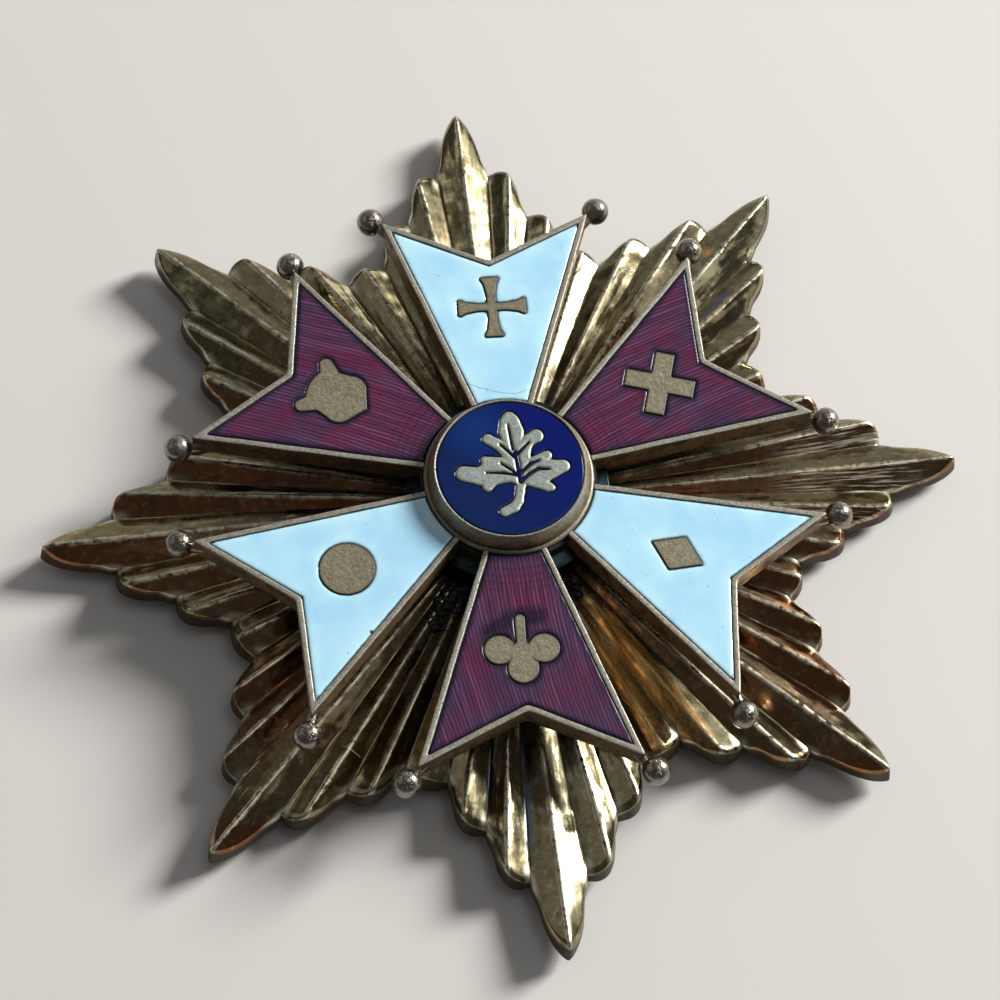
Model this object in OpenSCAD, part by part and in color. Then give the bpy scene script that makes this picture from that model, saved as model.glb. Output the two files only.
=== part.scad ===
// Medal brooch: a corrugated eight-pointed star carrying a six-armed enamelled cross and a round boss.
// The brooch lies on its back on the plane z = 0, with a main ray along +Y. Angles that start at +Y
// and run clockwise, as on a compass, are called bearings.

/* [Star] */
// Distance from the centre to the tip of a main ray
star_r = 38; // [34:0.5:42]
// Height of the ridges above the lower edge of the turned-down rim
star_h = 2.2; // [2:0.1:3]
// Gap under the rim, left by the pin that the brooch lies on
rim_lift = 1.2; // [1:0.1:2]
// Thickness of the pressed sheet
sheet_t = 0.6; // [0.5:0.05:0.8]
// Depth of a groove below the ridges, for each millimetre from the centre
groove_rate = 0.034; // [0.02:0.002:0.038]
// How far the foot of the rim stands out beyond its top, at the tip of a ray
rim_flare = 0.35; // [0.1:0.05:0.5]

/* [Cross] */
// Turn of the cross on the star, clockwise
cross_turn = 3.4; // [0:0.1:7]
// Height of the rims of the cells above the ridges of the star
cross_top = 4.45; // [4:0.05:5]
// Height of an arm from its underside to the top of its rim
arm_h = 2; // [1.6:0.1:2.2]
// Angle between an arm's side and its axis
arm_side = 19.4; // [18:0.1:21]
// Distance from the centre to an arm's outer corners, along the arm
arm_y = 24.4; // [23:0.1:26]
// Half of the width of an arm at its outer corners
arm_x = 8.85; // [8:0.05:9.2]
// Distance from the centre to the bottom of the notch in an arm's end
notch_y = 20.2; // [19.6:0.1:21]
// Width of the rim round a cell
rim_w = 0.5; // [0.4:0.05:0.7]
// Depth of a cell below its rim
cell_d = 0.5; // [0.3:0.05:0.7]
// Radius of the balls
ball_r = 1.15; // [1:0.05:1.2]

/* [Boss] */
// Height of the boss's lip above the ridges of the star
boss_top = 6; // [5.8:0.1:6.5]
// Outer radius of the cup
boss_r = 6.65; // [6.4:0.05:6.8]
// Width of the lip
lip_w = 0.7; // [0.5:0.05:0.9]

/* [Pin] */
// Distance between the hinge and the catch
pin_span = 30; // [26:1:32]
// Radius of the pin's stem
stem_r = 0.45; // [0.4:0.05:0.5]

/* [Hidden] */
$fn = 64;

gap = 0.03;
eps = 0.01;
brass = "#8a7440";
pewter = "#8c8474";
white_glaze = "#c9e2ee";
crimson_glaze = "#6b2345";
blue_glaze = "#16265e";

// Heights of the main levels
ridge_z = rim_lift + star_h;
cross_z = ridge_z + cross_top - arm_h;
cell_z = ridge_z + cross_top - cell_d;
lip_z = ridge_z + boss_top;

// Star plate

main_rays = 8;
sector = 360 / main_rays;
edge_steps = 4;
// Backing disc in the middle of the back, where the pin is fixed
pad_r = 17;
pad_z = ridge_z - pad_r * groove_rate - sheet_t;
// Flat place in the middle of the face, under the disc: its radius and that of the slope round it
centre_r = [3.5, 4.2];
centre_z = ridge_z - centre_r[1] * groove_rate;
// Bore for the stud that holds star, disc, cross and boss together
stud_r = 2;
bore_r = stud_r + 0.06;
// Shoulder that rounds the ends of the rays: how far in from the edge, how far down from the flank
shoulder = [[0.55, 0], [0.16, 0.1], [0, 0.38]];
// Width of the rim's foot, on a ray's end and on its sides
foot_w = 0.9;

// Rays of half a sector. Each one ends in a quarter of an ellipse, from its outermost bearing to the
// notch beside the next ray. A ridge runs up the ray, and a groove into each notch.
// Columns: bearing of the end, bearing of the notch, radius of the end, radius of the notch,
// sharpness of the end: 1 for an ellipse, and more for an end that comes to a point
RAYS = [
    [0, 4, star_r, 32.2, 1.35],
    [5.2, 10.7, 32.3, 28.1, 1],
    [12.2, 18.4, 28.1, 24.6, 1]
];
MID_END = [[19.9, 24.9], [sector / 2, 25]];
// Lean of each main ray, clockwise from the top one, as hand work left it
LEANS = [0.7, -0.2, 0.2, -0.6, 0.2, -0.7, -0.1, 0.2];

function ray_edge(ray) = [
    for (i = [0:edge_steps])
        let (t = 90 * i / edge_steps)
        [ray[0] + (ray[1] - ray[0]) * pow(sin(t), ray[4]), ray[3] + (ray[2] - ray[3]) * cos(t)]
];

// Bearings of ridges and grooves in turn, from the middle of a main ray outwards
function ridge_of(ray) = ray[0] == 0 ? 0 : ray_edge(ray)[1][0];
creases = concat([for (ray = RAYS) each [ridge_of(ray), ray[1]]], [sector / 2]);

half_edge = concat([for (ray = RAYS) each ray_edge(ray)], MID_END);
half_count = len(half_edge);
sector_edge = concat(half_edge,
    [for (i = [half_count - 2:-1:1]) [sector - half_edge[i][0], half_edge[i][1]]]);
edge = [for (k = [0:main_rays - 1], p = sector_edge) [p[0] + k * sector, p[1]]];
edge_count = len(edge);

// Bearing folded back into the first half sector
function folded(b) = let (m = b % sector) m > sector / 2 ? sector - m : m;

// How far the star's face lies below the ridges
function face_drop(r, b) =
    let (
        f = folded(b),
        i = max([for (k = [0:len(creases) - 2]) creases[k] <= f + eps ? k : 0]),
        from_ridge = i % 2 == 0,
        ridge = creases[from_ridge ? i : i + 1],
        groove = creases[from_ridge ? i + 1 : i]
    )
    groove_rate * r * abs(sin(f - ridge)) / abs(sin(groove - ridge));

function face_z(r, b) = ridge_z - face_drop(r, b);

// Radius of the hollow's edge behind the star. Beside a main ray it ends at the notch, because the
// ray's sides leave no room for it.
function hollow_r(r, b) =
    let (
        f = folded(b),
        main = RAYS[0],
        side = foot_w * 180 / (PI * main[3])
    )
    f < main[1] && f > main[1] - side - eps ? main[3] - foot_w : r - foot_w;

// Bearing at which a point of the even star comes to lie, between the leans of the rays beside it
function leaned(b) =
    let (k = floor(b / sector), part = b / sector - k)
    b + LEANS[k % main_rays] * (1 - part) + LEANS[(k + 1) % main_rays] * part;

// A point of the star: distance and bearing on the even star, and height
function star_point(r, b, z) = [r * sin(leaned(b)), r * cos(leaned(b)), z];

// Rings of points from the middle of the face over the rim to the middle of the back
star_rings = [
    [for (p = edge) star_point(centre_r[0], p[0], centre_z)],
    [for (p = edge) star_point(centre_r[1], p[0], face_z(centre_r[1], p[0]))],
    each [
        for (s = shoulder) [
            for (p = edge)
                let (r = p[1] - s[0])
                star_point(r, p[0], face_z(r, p[0]) - s[1])
        ]
    ],
    [
        for (p = edge)
            let (wall_h = face_z(p[1], p[0]) - rim_lift)
            star_point(p[1] + rim_flare * wall_h / star_h, p[0], rim_lift)
    ],
    [for (p = edge) star_point(hollow_r(p[1], p[0]), p[0], rim_lift)],
    [
        for (p = edge)
            let (r = hollow_r(p[1], p[0]))
            star_point(r - 0.1, p[0], face_z(r, p[0]) - sheet_t)
    ],
    [for (p = edge) star_point(pad_r + 0.1, p[0], face_z(pad_r, p[0]) - sheet_t + eps)],
    [for (p = edge) star_point(pad_r, p[0], pad_z)]
];

module star_plate() {
    last = (len(star_rings) - 1) * edge_count;
    bands = [
        for (ring = [0:len(star_rings) - 2], i = [0:edge_count - 1])
            let (a = ring * edge_count, b = a + edge_count, j = (i + 1) % edge_count)
            each [[a + i, a + j, b + i], [a + j, b + j, b + i]]
    ];
    centre = [for (i = [edge_count - 1:-1:0]) i];
    pad = [for (i = [0:edge_count - 1]) last + i];
    color(brass)
        difference() {
            polyhedron([for (ring = star_rings) each ring], concat(bands, [centre, pad]));
            translate([0, 0, pad_z - eps])
                cylinder(r = bore_r, h = centre_z - pad_z + 2 * eps);
        }
}

// Disc between the star and the cross

disc_r = 8.3;

module spacer_disc() {
    disc_h = cross_z - ridge_z - 2 * gap;
    color("slategray")
        translate([0, 0, ridge_z + gap])
            difference() {
                cylinder(r = disc_r, h = disc_h);
                translate([0, 0, -eps])
                    cylinder(r = bore_r, h = disc_h + 2 * eps);
            }
}

// Cross

arms = 6;
arm_step = 360 / arms;
hub_r = 7.2;
// Inner end of a filling
filling_r = 7.45;
arm_root_y = 5;

// Point where two lines meet, each given by a point and a direction
function meet(p, u, q, v) =
    let (d = u[0] * v[1] - u[1] * v[0])
    p + u * (((q[0] - p[0]) * v[1] - (q[1] - p[1]) * v[0]) / d);

// What is different from arm to arm, clockwise from the top one
// Columns: lean of the arm, how much deeper its notch is, place of its charge
ARMS = [
    [-0.8, 0, [-0.1, 15.7]],
    [-0.2, 0.5, [-0.25, 15.2]],
    [0, 0, [0, 14.95]],
    [0, 0, [0.1, 15.4]],
    [0.2, 0, [0.15, 15.4]],
    [0.2, -0.1, [0.05, 15.75]]
];

// Outline of an arm that points along +Y, with each edge moved inwards
module arm_shape(arm, inset = 0) {
    notch_at = [0, notch_y - ARMS[arm][1]];
    side = [sin(arm_side), cos(arm_side)];
    end = ([arm_x, arm_y] - notch_at) / norm([arm_x, arm_y] - notch_at);
    side_p = [arm_x, arm_y] + inset * [-side[1], side[0]];
    end_p = notch_at + inset * [end[1], -end[0]];
    corner = meet(side_p, side, end_p, end);
    notch = meet(end_p, end, [0, 0], [0, 1]);
    root = meet(side_p, side, [0, arm_root_y], [1, 0]);
    mirrored = [for (p = [corner, root]) [-p[0], p[1]]];
    polygon([root, corner, notch, mirrored[0], mirrored[1]]);
}

// Rod with round ends of two radii
module finger(p, pr, q, qr) {
    u = (q - p) / norm(q - p);
    n = [-u[1], u[0]];
    c = (pr - qr) / norm(q - p);
    s = sqrt(1 - c * c);
    left = c * u + s * n;
    right = c * u - s * n;
    translate(p)
        circle(r = pr);
    translate(q)
        circle(r = qr);
    polygon([p + pr * left, q + qr * left, q + qr * right, p + pr * right]);
}

// Charges, each drawn round its own middle and made larger all round by grow

module cross_patty(grow) {
    reach = 2.93 + grow;
    waist = 0.4 + grow;
    end_w = 0.8 + grow;
    for (a = [0:90:270])
        rotate(a)
            polygon([[-waist, -waist], [waist, -waist], [waist, 1.2], [end_w - 0.2, 2.3],
                [end_w, reach - 0.1], [end_w - 0.1, reach], [0.1 - end_w, reach],
                [-end_w, reach - 0.1], [0.2 - end_w, 2.3], [-waist, 1.2]]);
}

module cross_plain(grow) {
    reach = 2.9 + grow;
    half_w = 0.82 + grow;
    corner = 0.2;
    for (a = [45, 135])
        rotate(a)
            polygon([for (sx = [-1, 1]) each [
                [sx * reach, -sx * (half_w - corner)], [sx * reach, sx * (half_w - corner)],
                [sx * (reach - corner), sx * half_w], [-sx * (reach - corner), sx * half_w]
            ]]);
}

module lozenge(grow) {
    half = [1.65, 2.3];
    corner = 0.12;
    inner = half[0] * half[1] / norm(half);
    k = 1 + grow / inner;
    polygon([for (s = [-1, 1]) each [
        k * [s * half[0], -s * corner], k * [s * half[0], s * corner],
        k * [s * corner, s * half[1]], k * [-s * corner, s * half[1]]
    ]]);
}

module trefoil(grow) {
    lobe_r = 1.25 + grow;
    for (p = [[-1.75, -0.35], [1.75, -0.35], [0, 1.3]])
        translate(p)
            circle(r = lobe_r);
    circle(r = 1 + grow);
    finger([0, -0.4], 0.4 + grow, [0, -2.9], 0.42 + grow);
}

module roundel(grow) {
    circle(r = 2.25 + grow);
}

function arc_points(c, r, from, to, steps = 6) =
    [for (i = [0:steps]) let (a = from + (to - from) * i / steps) c + r * [cos(a), sin(a)]];

module eared_shield(grow) {
    half_outline = concat(
        arc_points([0, -0.6], 3.1, 90, 66, 4),
        arc_points([2.1, 2.1], 0.62, 100, -45, 5),
        [[2, 0.8], [2.05, 0.4]],
        arc_points([1, -0.75], 1.3, 25, -70, 5),
        [[0, -2.8]]
    );
    count = len(half_outline);
    k = 1 + grow / 2;
    polygon(k * concat(half_outline,
        [for (i = [count - 2:-1:1]) [-half_outline[i][0], half_outline[i][1]]]));
}

module charge(arm, grow = 0) {
    translate(ARMS[arm][2]) {
        if (arm == 0) cross_patty(grow);
        if (arm == 1) cross_plain(grow);
        if (arm == 2) lozenge(grow);
        if (arm == 3) trefoil(grow);
        if (arm == 4) roundel(grow);
        if (arm == 5) eared_shield(grow);
    }
}

module on_arm(arm) {
    rotate(-cross_turn - arm * arm_step - ARMS[arm][0])
        children();
}

module arm_metal(arm) {
    ball_at = [arm_x + 0.79, arm_y + 0.8];
    ball_z = arm_h / 2 - 0.15;
    neck_r = 0.42;
    neck_from = [arm_x - 0.75, arm_y - 0.8];
    neck = ball_at - neck_from;
    difference() {
        linear_extrude(arm_h)
            arm_shape(arm);
        translate([0, 0, arm_h - cell_d])
            linear_extrude(cell_d + eps)
                arm_shape(arm, rim_w);
    }
    translate([0, 0, arm_h - cell_d - eps])
        linear_extrude(cell_d + eps)
            charge(arm);
    for (side = [-1, 1])
        scale_x(side) {
            translate([ball_at[0], ball_at[1], ball_z])
                sphere(r = ball_r);
            translate([neck_from[0], neck_from[1], ball_z])
                rotate([-90, 0, -atan(neck[0] / neck[1])])
                        cylinder(r = neck_r, h = norm(neck));
        }
}

module scale_x(side) {
    if (side < 0)
        mirror([1, 0, 0])
            children();
    else
        children();
}

module cross_frame() {
    color(pewter)
        translate([0, 0, cross_z])
            difference() {
                union() {
                    for (arm = [0:arms - 1])
                        on_arm(arm)
                            arm_metal(arm);
                    cylinder(r = hub_r, h = arm_h - cell_d);
                }
                translate([0, 0, arm_h - cell_d])
                    cylinder(r = hub_r, h = cell_d + eps);
                translate([0, 0, -eps])
                    cylinder(r = bore_r, h = arm_h);
            }
}

// Filling of a cell, just below its rim
module filling(arm) {
    translate([0, 0, cell_z + gap])
        on_arm(arm)
            linear_extrude(cell_d - 2 * gap)
                difference() {
                    arm_shape(arm, rim_w + gap);
                    charge(arm, gap);
                    circle(r = filling_r);
                }
}

module enamel_white_top() { color(white_glaze) filling(0); }
module enamel_crimson_right() { color(crimson_glaze) filling(1); }
module enamel_white_right() { color(white_glaze) filling(2); }
module enamel_crimson_bottom() { color(crimson_glaze) filling(3); }
module enamel_white_left() { color(white_glaze) filling(4); }
module enamel_crimson_left() { color(crimson_glaze) filling(5); }

// Boss

boss_z = cell_z + gap;
boss_h = lip_z - boss_z;
cup_d = 0.5;
cup_r = boss_r - lip_w;
// Outside of the boss, from the undercut above its foot up the slope to the top of the lip
// Columns: distance inwards as a share of the lip's width, height as a share of the boss's height
SLOPE = [
    [0.2, 0.27],
    [0.2, 0.35],
    [0, 0.38],
    [0.6, 0.85],
    [0.74, 1]
];
// Bead round the foot of the boss
bead_r = 0.27;
// Head of the stud behind the star
rivet = [3, 0.4];
stud_end_z = pad_z - gap - rivet[1];

// Lobes and stem of the leaf, each a rod with round ends, measured from the middle of the boss
// Columns: inner x, inner y, inner radius, outer x, outer y, outer radius
LOBES = [
    [0.5, -0.6, 0.9, 0.5, 1.6, 0.6],
    [0.5, 1.6, 0.6, 0.5, 3.2, 1],
    [0.5, 3.2, 1, 0.5, 4.1, 0.8],
    [0.5, 4.1, 0.8, 0.5, 4.55, 0.48],
    [0.3, 0.6, 0.5, -0.3, 1.7, 0.5],
    [-0.3, 1.7, 0.5, -0.85, 2.25, 0.46],
    [-0.85, 2.25, 0.46, -1.45, 2.7, 0.5],
    [1.1, 0.6, 0.6, 1.3, 1.7, 0.62],
    [1.3, 1.7, 0.62, 1.85, 2.3, 0.5],
    [1.85, 2.3, 0.5, 2.45, 2.6, 0.62],
    [0, -0.4, 0.9, -1.3, -0.2, 1.15],
    [-1.3, -0.2, 1.15, -2.5, -0.5, 0.78],
    [-2.5, -0.5, 0.78, -3.75, -0.15, 0.7],
    [-0.6, 0.3, 0.7, -1.95, 0.85, 0.38],
    [-1.6, -0.9, 0.6, -2, -1.5, 0.45],
    [1.2, -0.6, 0.8, 2.5, -0.6, 1],
    [2.5, -0.6, 1, 3.3, -0.45, 0.8],
    [3.3, -0.45, 0.8, 4.25, -0.3, 0.58],
    [1.9, 0.15, 0.6, 3.1, 0.8, 0.42],
    [1.6, -1.3, 0.6, 2.8, -2, 0.42],
    [2.8, -2, 0.42, 3.1, -2.1, 0.3],
    [0.75, -1.3, 0.45, 0.5, -2.3, 0.35],
    [0.5, -2.3, 0.35, 0.3, -3, 0.38],
    [0.3, -3, 0.38, -0.1, -3.5, 0.42],
    [-0.1, -3.5, 0.42, -0.95, -3.83, 0.43]
];
// Furrows between the lobes, which run together above the stem, and the vein of the top lobe
// Columns: inner x, inner y, inner radius, outer x, outer y, outer radius
FURROWS = [
    [0.41, 1.6, 0.09, 0.3, 3.8, 0.05],
    [0.72, -1.3, 0.2, 0.62, 1.3, 0.16],
    [0.5, 0.9, 0.13, -0.55, 2.13, 0.05],
    [0.75, 1.15, 0.12, 1.8, 2.1, 0.06],
    [0.6, -0.7, 0.09, -0.7, 0.45, 0.05],
    [0.6, -0.75, 0.1, -0.6, -0.42, 0.09],
    [-0.6, -0.42, 0.09, -1.95, -0.26, 0.05],
    [0.8, -0.55, 0.12, 1.7, 0.18, 0.14],
    [1.7, 0.18, 0.14, 2.4, 0.4, 0.07],
    [0.8, -1.25, 0.13, 1.47, -0.72, 0.14],
    [1.47, -0.72, 0.14, 2.22, -0.34, 0.13],
    [2.22, -0.34, 0.13, 3.1, -0.45, 0.07]
];
furrow_d = 0.15;

// One outline round all rods of a table, with a margin
module rods(table, margin = 0) {
    offset(r = margin, $fn = 24)
        for (rod = table)
            finger([rod[0], rod[1]], rod[2], [rod[3], rod[4]], rod[5], $fn = 24);
}

module boss_bezel() {
    floor_z = boss_h - cup_d;
    foot_r = boss_r + 0.75 * bead_r;
    undercut_r = boss_r - SLOPE[0][0] * lip_w;
    color(pewter)
        translate([0, 0, boss_z]) {
            rotate_extrude() {
                translate([boss_r, bead_r])
                    circle(r = bead_r);
                polygon(concat(
                    [[0, 0], [foot_r, 0], [foot_r, bead_r], [undercut_r, bead_r]],
                    [for (s = SLOPE) [boss_r - s[0] * lip_w, s[1] * boss_h]],
                    [[cup_r, boss_h], [cup_r, floor_z], [0, floor_z]]
                ));
            }
            difference() {
                translate([0, 0, floor_z - eps])
                    linear_extrude(cup_d)
                        rods(LOBES);
                translate([0, 0, boss_h - eps - furrow_d])
                    linear_extrude(furrow_d + eps)
                        rods(FURROWS);
            }
            translate([0, 0, stud_end_z - boss_z]) {
                cylinder(r = stud_r, h = boss_z - stud_end_z + eps);
                cylinder(r = rivet[0], h = rivet[1]);
            }
        }
}

module boss_enamel() {
    color(blue_glaze)
        translate([0, 0, boss_z + boss_h - cup_d + gap])
            linear_extrude(cup_d - 0.1)
                difference() {
                    circle(r = cup_r - gap);
                    rods(LOBES, gap);
                }
}

// Pin: a hinge, a stem and a catch behind the star, which stand on the ground

pin_top = pad_z - gap;
foot_t = 0.5;
// Hinge: a plate under the star with two ears, and a knuckle between them
hinge = [3, 6];
ear_t = 0.8;
ear_cut = 0.5;
knuckle_r = 0.85;
// Catch: a strip bent into a hook that is open to one side
catch = [3, 5];
strip_t = 0.45;
stem_z = strip_t + stem_r - eps;

module hinge_ear() {
    half_w = hinge[0] / 2;
    rotate([90, 0, 0])
        linear_extrude(ear_t, center = true)
            polygon([[-half_w, pin_top], [-half_w, ear_cut], [ear_cut - half_w, 0],
                [half_w - ear_cut, 0], [half_w, ear_cut], [half_w, pin_top]]);
}

module pin_hinge() {
    translate([-hinge[0] / 2, -hinge[1] / 2, pin_top - foot_t])
        cube([hinge[0], hinge[1], foot_t]);
    for (side = [-1, 1])
        translate([0, side * (hinge[1] - ear_t) / 2, 0])
            hinge_ear();
    translate([0, 0, stem_z])
        rotate([90, 0, 0])
            cylinder(r = knuckle_r, h = hinge[1] - ear_t, center = true);
}

module pin_catch() {
    half_w = catch[1] / 2;
    mouth = pin_top - foot_t;
    rotate([90, 0, 90])
        linear_extrude(catch[0], center = true)
            polygon([[-half_w, 0], [half_w, 0], [half_w, strip_t / 2], [half_w - strip_t / 2, strip_t],
                [strip_t - half_w, strip_t], [strip_t - half_w, mouth], [half_w, mouth],
                [half_w, pin_top], [-half_w, pin_top]]);
}

module brooch_pin() {
    color("silver") {
        translate([-pin_span / 2, 0, 0])
            pin_hinge();
        translate([pin_span / 2, 0, 0])
            pin_catch();
        translate([-pin_span / 2, 0, stem_z])
            rotate([0, 90, 0])
                cylinder(r = stem_r, h = pin_span + 1);
        translate([pin_span / 2 + 1, 0, stem_z])
            rotate([0, 90, 0])
                cylinder(r1 = stem_r, r2 = 0.1, h = 1.6);
    }
}

star_plate();
spacer_disc();
cross_frame();
enamel_white_top();
enamel_white_right();
enamel_white_left();
enamel_crimson_right();
enamel_crimson_bottom();
enamel_crimson_left();
boss_bezel();
boss_enamel();
brooch_pin();
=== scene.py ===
"""Finish of the medal brooch: a fluted star, an enamelled cross of six arms and a round boss with a leaf.

Lengths are in millimetres in this file, and become metres where a mesh is made. The brooch lies on its
back on the plane z = 0 with a main ray along +Y. A bearing is an angle from +Y, clockwise from above.
"""

import logging
import math
from dataclasses import dataclass, field
from enum import Enum
from functools import reduce
from typing import Callable, Iterable, Sequence

import bmesh
import bpy
import numpy as np
from mathutils import Matrix, Vector, noise


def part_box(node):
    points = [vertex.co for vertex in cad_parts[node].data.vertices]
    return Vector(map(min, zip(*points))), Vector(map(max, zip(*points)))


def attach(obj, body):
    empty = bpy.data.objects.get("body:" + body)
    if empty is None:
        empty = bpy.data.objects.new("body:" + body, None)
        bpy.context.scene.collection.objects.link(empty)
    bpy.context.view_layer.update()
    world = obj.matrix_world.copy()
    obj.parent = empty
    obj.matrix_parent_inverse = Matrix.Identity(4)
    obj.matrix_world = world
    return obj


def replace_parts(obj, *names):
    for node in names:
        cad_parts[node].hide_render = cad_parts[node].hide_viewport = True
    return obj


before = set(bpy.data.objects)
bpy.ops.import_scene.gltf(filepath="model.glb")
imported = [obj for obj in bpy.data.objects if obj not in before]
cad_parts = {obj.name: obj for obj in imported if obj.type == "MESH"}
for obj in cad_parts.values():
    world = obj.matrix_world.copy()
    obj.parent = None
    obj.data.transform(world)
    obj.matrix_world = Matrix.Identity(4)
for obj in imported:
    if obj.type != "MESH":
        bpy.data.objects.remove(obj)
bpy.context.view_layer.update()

LOG = logging.getLogger("medal_brooch")
MM = 0.001
DEG = math.pi / 180
BODY = "root"

Points = np.ndarray
Outline = Callable[[Points], np.ndarray]
Top = Callable[[Points, np.ndarray], np.ndarray]
Colour = tuple[float, float, float]
Place = tuple[float, float]
Space = tuple[float, float, float]
Row = tuple[float, ...]
Material = bpy.types.Material
Mesh = bpy.types.Mesh
Node = bpy.types.Node
Piece = bpy.types.Object
Socket = bpy.types.NodeSocket

# Angle in degrees past which an edge stays crisp, on cut pieces and on pieces that a node tree grows
CRISP = 40
CRISP_GROWN = 50


def linear(red: float, green: float, blue: float) -> Colour:
    """Turns a display colour into scene-linear values.

    Args:
        red: Red from 0 to 255.
        green: Green from 0 to 255.
        blue: Blue from 0 to 255.

    Returns:
        The colour as three linear values from 0 to 1.
    """
    def channel(value: float) -> float:
        """One channel of the display curve."""
        share = value / 255
        return share / 12.92 if share <= 0.04045 else ((share + 0.055) / 1.055) ** 2.4

    return channel(red), channel(green), channel(blue)


class Slot(Enum):
    """Finishes that the record names."""

    STAR = "star_gilt"
    DISC = "disc_steel"
    CROSS = "cross_metal"
    WHITE = "enamel_white"
    CRIMSON = "enamel_crimson"
    BOSS = "boss_metal"
    BLUE = "enamel_blue"
    PIN = "pin_metal"


def adding(operation: str, turned: bool = False) -> Callable[..., "Num"]:
    """Method of a number that adds a Math node.

    Args:
        operation: What the node does.
        turned: Whether the number itself comes second.

    Returns:
        The method.
    """
    def method(number: "Num", *others: "Num | float") -> "Num":
        """Adds the node for this number and the others."""
        return number.graph.math(operation, *((*others, number) if turned else (number, *others)))

    return method


class Num:
    """A number in a node tree. Python's operators on it add Math nodes."""

    def __init__(self, graph: "Graph", socket: Socket) -> None:
        """Wraps one output socket."""
        self.graph = graph
        self.socket = socket

    __add__ = __radd__ = adding("ADD")
    __sub__ = adding("SUBTRACT")
    __rsub__ = adding("SUBTRACT", turned=True)
    __mul__ = __rmul__ = adding("MULTIPLY")
    __truediv__ = adding("DIVIDE")
    __mod__ = adding("FLOORED_MODULO")
    __pow__ = adding("POWER")
    __gt__ = adding("GREATER_THAN")
    __lt__ = adding("LESS_THAN")
    __abs__ = adding("ABSOLUTE")
    root = adding("SQRT")
    floor = adding("FLOOR")
    least = adding("MINIMUM")
    most = adding("MAXIMUM")

    def sin(self) -> "Num":
        """Sine of an angle in degrees."""
        return self.graph.math("SINE", self * DEG)

    def cos(self) -> "Num":
        """Cosine of an angle in degrees."""
        return self.graph.math("COSINE", self * DEG)

    def ramp(self, start: float, end: float) -> "Num":
        """Straight rise from 0 at start to 1 at end, held outside them."""
        return ((self - start) / (end - start)).most(0).least(1)

    def toward(self, other: "Num | float", share: "Num | float") -> "Num":
        """Mixture of this number and another one by a share."""
        return self + (other - self) * share


class Graph:
    """A node tree under construction, for a shape or for a finish."""

    def __init__(self, tree: bpy.types.NodeTree) -> None:
        """Starts with an empty tree."""
        self.tree = tree
        tree.nodes.clear()

    @staticmethod
    def _socket(sockets: Sequence[Socket], key: str | int) -> Socket:
        """Finds a socket by place, identifier or name."""
        if isinstance(key, int):
            return sockets[key]
        for found in sockets:
            if found.identifier == key:
                return found
        return next(found for found in sockets if found.name == key and found.enabled)

    def feed(self, socket: Socket, value: object) -> None:
        """Links a socket or number to an input, or sets a plain value on it."""
        if isinstance(value, Num):
            value = value.socket
        if isinstance(value, Socket):
            self.tree.links.new(value, socket)
        elif isinstance(value, tuple) and len(value) == 3 and len(socket.default_value) == 4:
            socket.default_value = (*value, 1)
        else:
            socket.default_value = value

    def node(
        self,
        kind: str,
        settings: dict[str, object] | None = None,
        inputs: dict[str | int, object] | None = None,
    ) -> Node:
        """Adds any node.

        Args:
            kind: Type of the node.
            settings: Values set on the node itself, before its sockets.
            inputs: Value or link for each input, by place, identifier or name.

        Returns:
            The new node.
        """
        made = self.tree.nodes.new(kind)
        for name, value in (settings or {}).items():
            setattr(made, name, value)
        for key, value in (inputs or {}).items():
            self.feed(self._socket(made.inputs, key), value)
        return made

    def out(self, made: Node, key: str | int = 0) -> Socket:
        """One output of a node."""
        return self._socket(made.outputs, key)

    def math(self, operation: str, *values: "Num | float") -> Num:
        """Adds a Math node."""
        made = self.node("ShaderNodeMath", {"operation": operation}, dict(enumerate(values)))
        return Num(self, made.outputs[0])

    def number(self, made: Node, key: str | int = 0) -> Num:
        """One output of a node as a number."""
        return Num(self, self.out(made, key))

    def parts(self, vector: Socket) -> tuple[Num, Num, Num]:
        """The three numbers of a vector."""
        made = self.node("ShaderNodeSeparateXYZ", inputs={0: vector})
        return self.number(made, 0), self.number(made, 1), self.number(made, 2)

    def vector(self, x: object, y: object, z: object) -> Socket:
        """A vector from three numbers."""
        return self.out(self.node("ShaderNodeCombineXYZ", inputs={0: x, 1: y, 2: z}))

    def pick(self, index: Num, values: Sequence[float]) -> Num:
        """The value that belongs to a whole number, from a short table."""
        result: Num | float = values[0]
        for place in range(1, len(values)):
            result = (index > place - 0.5) * (values[place] - values[place - 1]) + result
        return result

    def noise(
        self, vector: Socket, scale: float, detail: float = 2, rough: float = 0.5, bend: float = 0
    ) -> Num:
        """Noise from 0 to 1, mostly near the middle."""
        made = self.node(
            "ShaderNodeTexNoise",
            {"noise_dimensions": "3D"},
            {"Vector": vector, "Scale": scale, "Detail": detail, "Roughness": rough, "Distortion": bend},
        )
        return self.number(made, 0)


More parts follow.
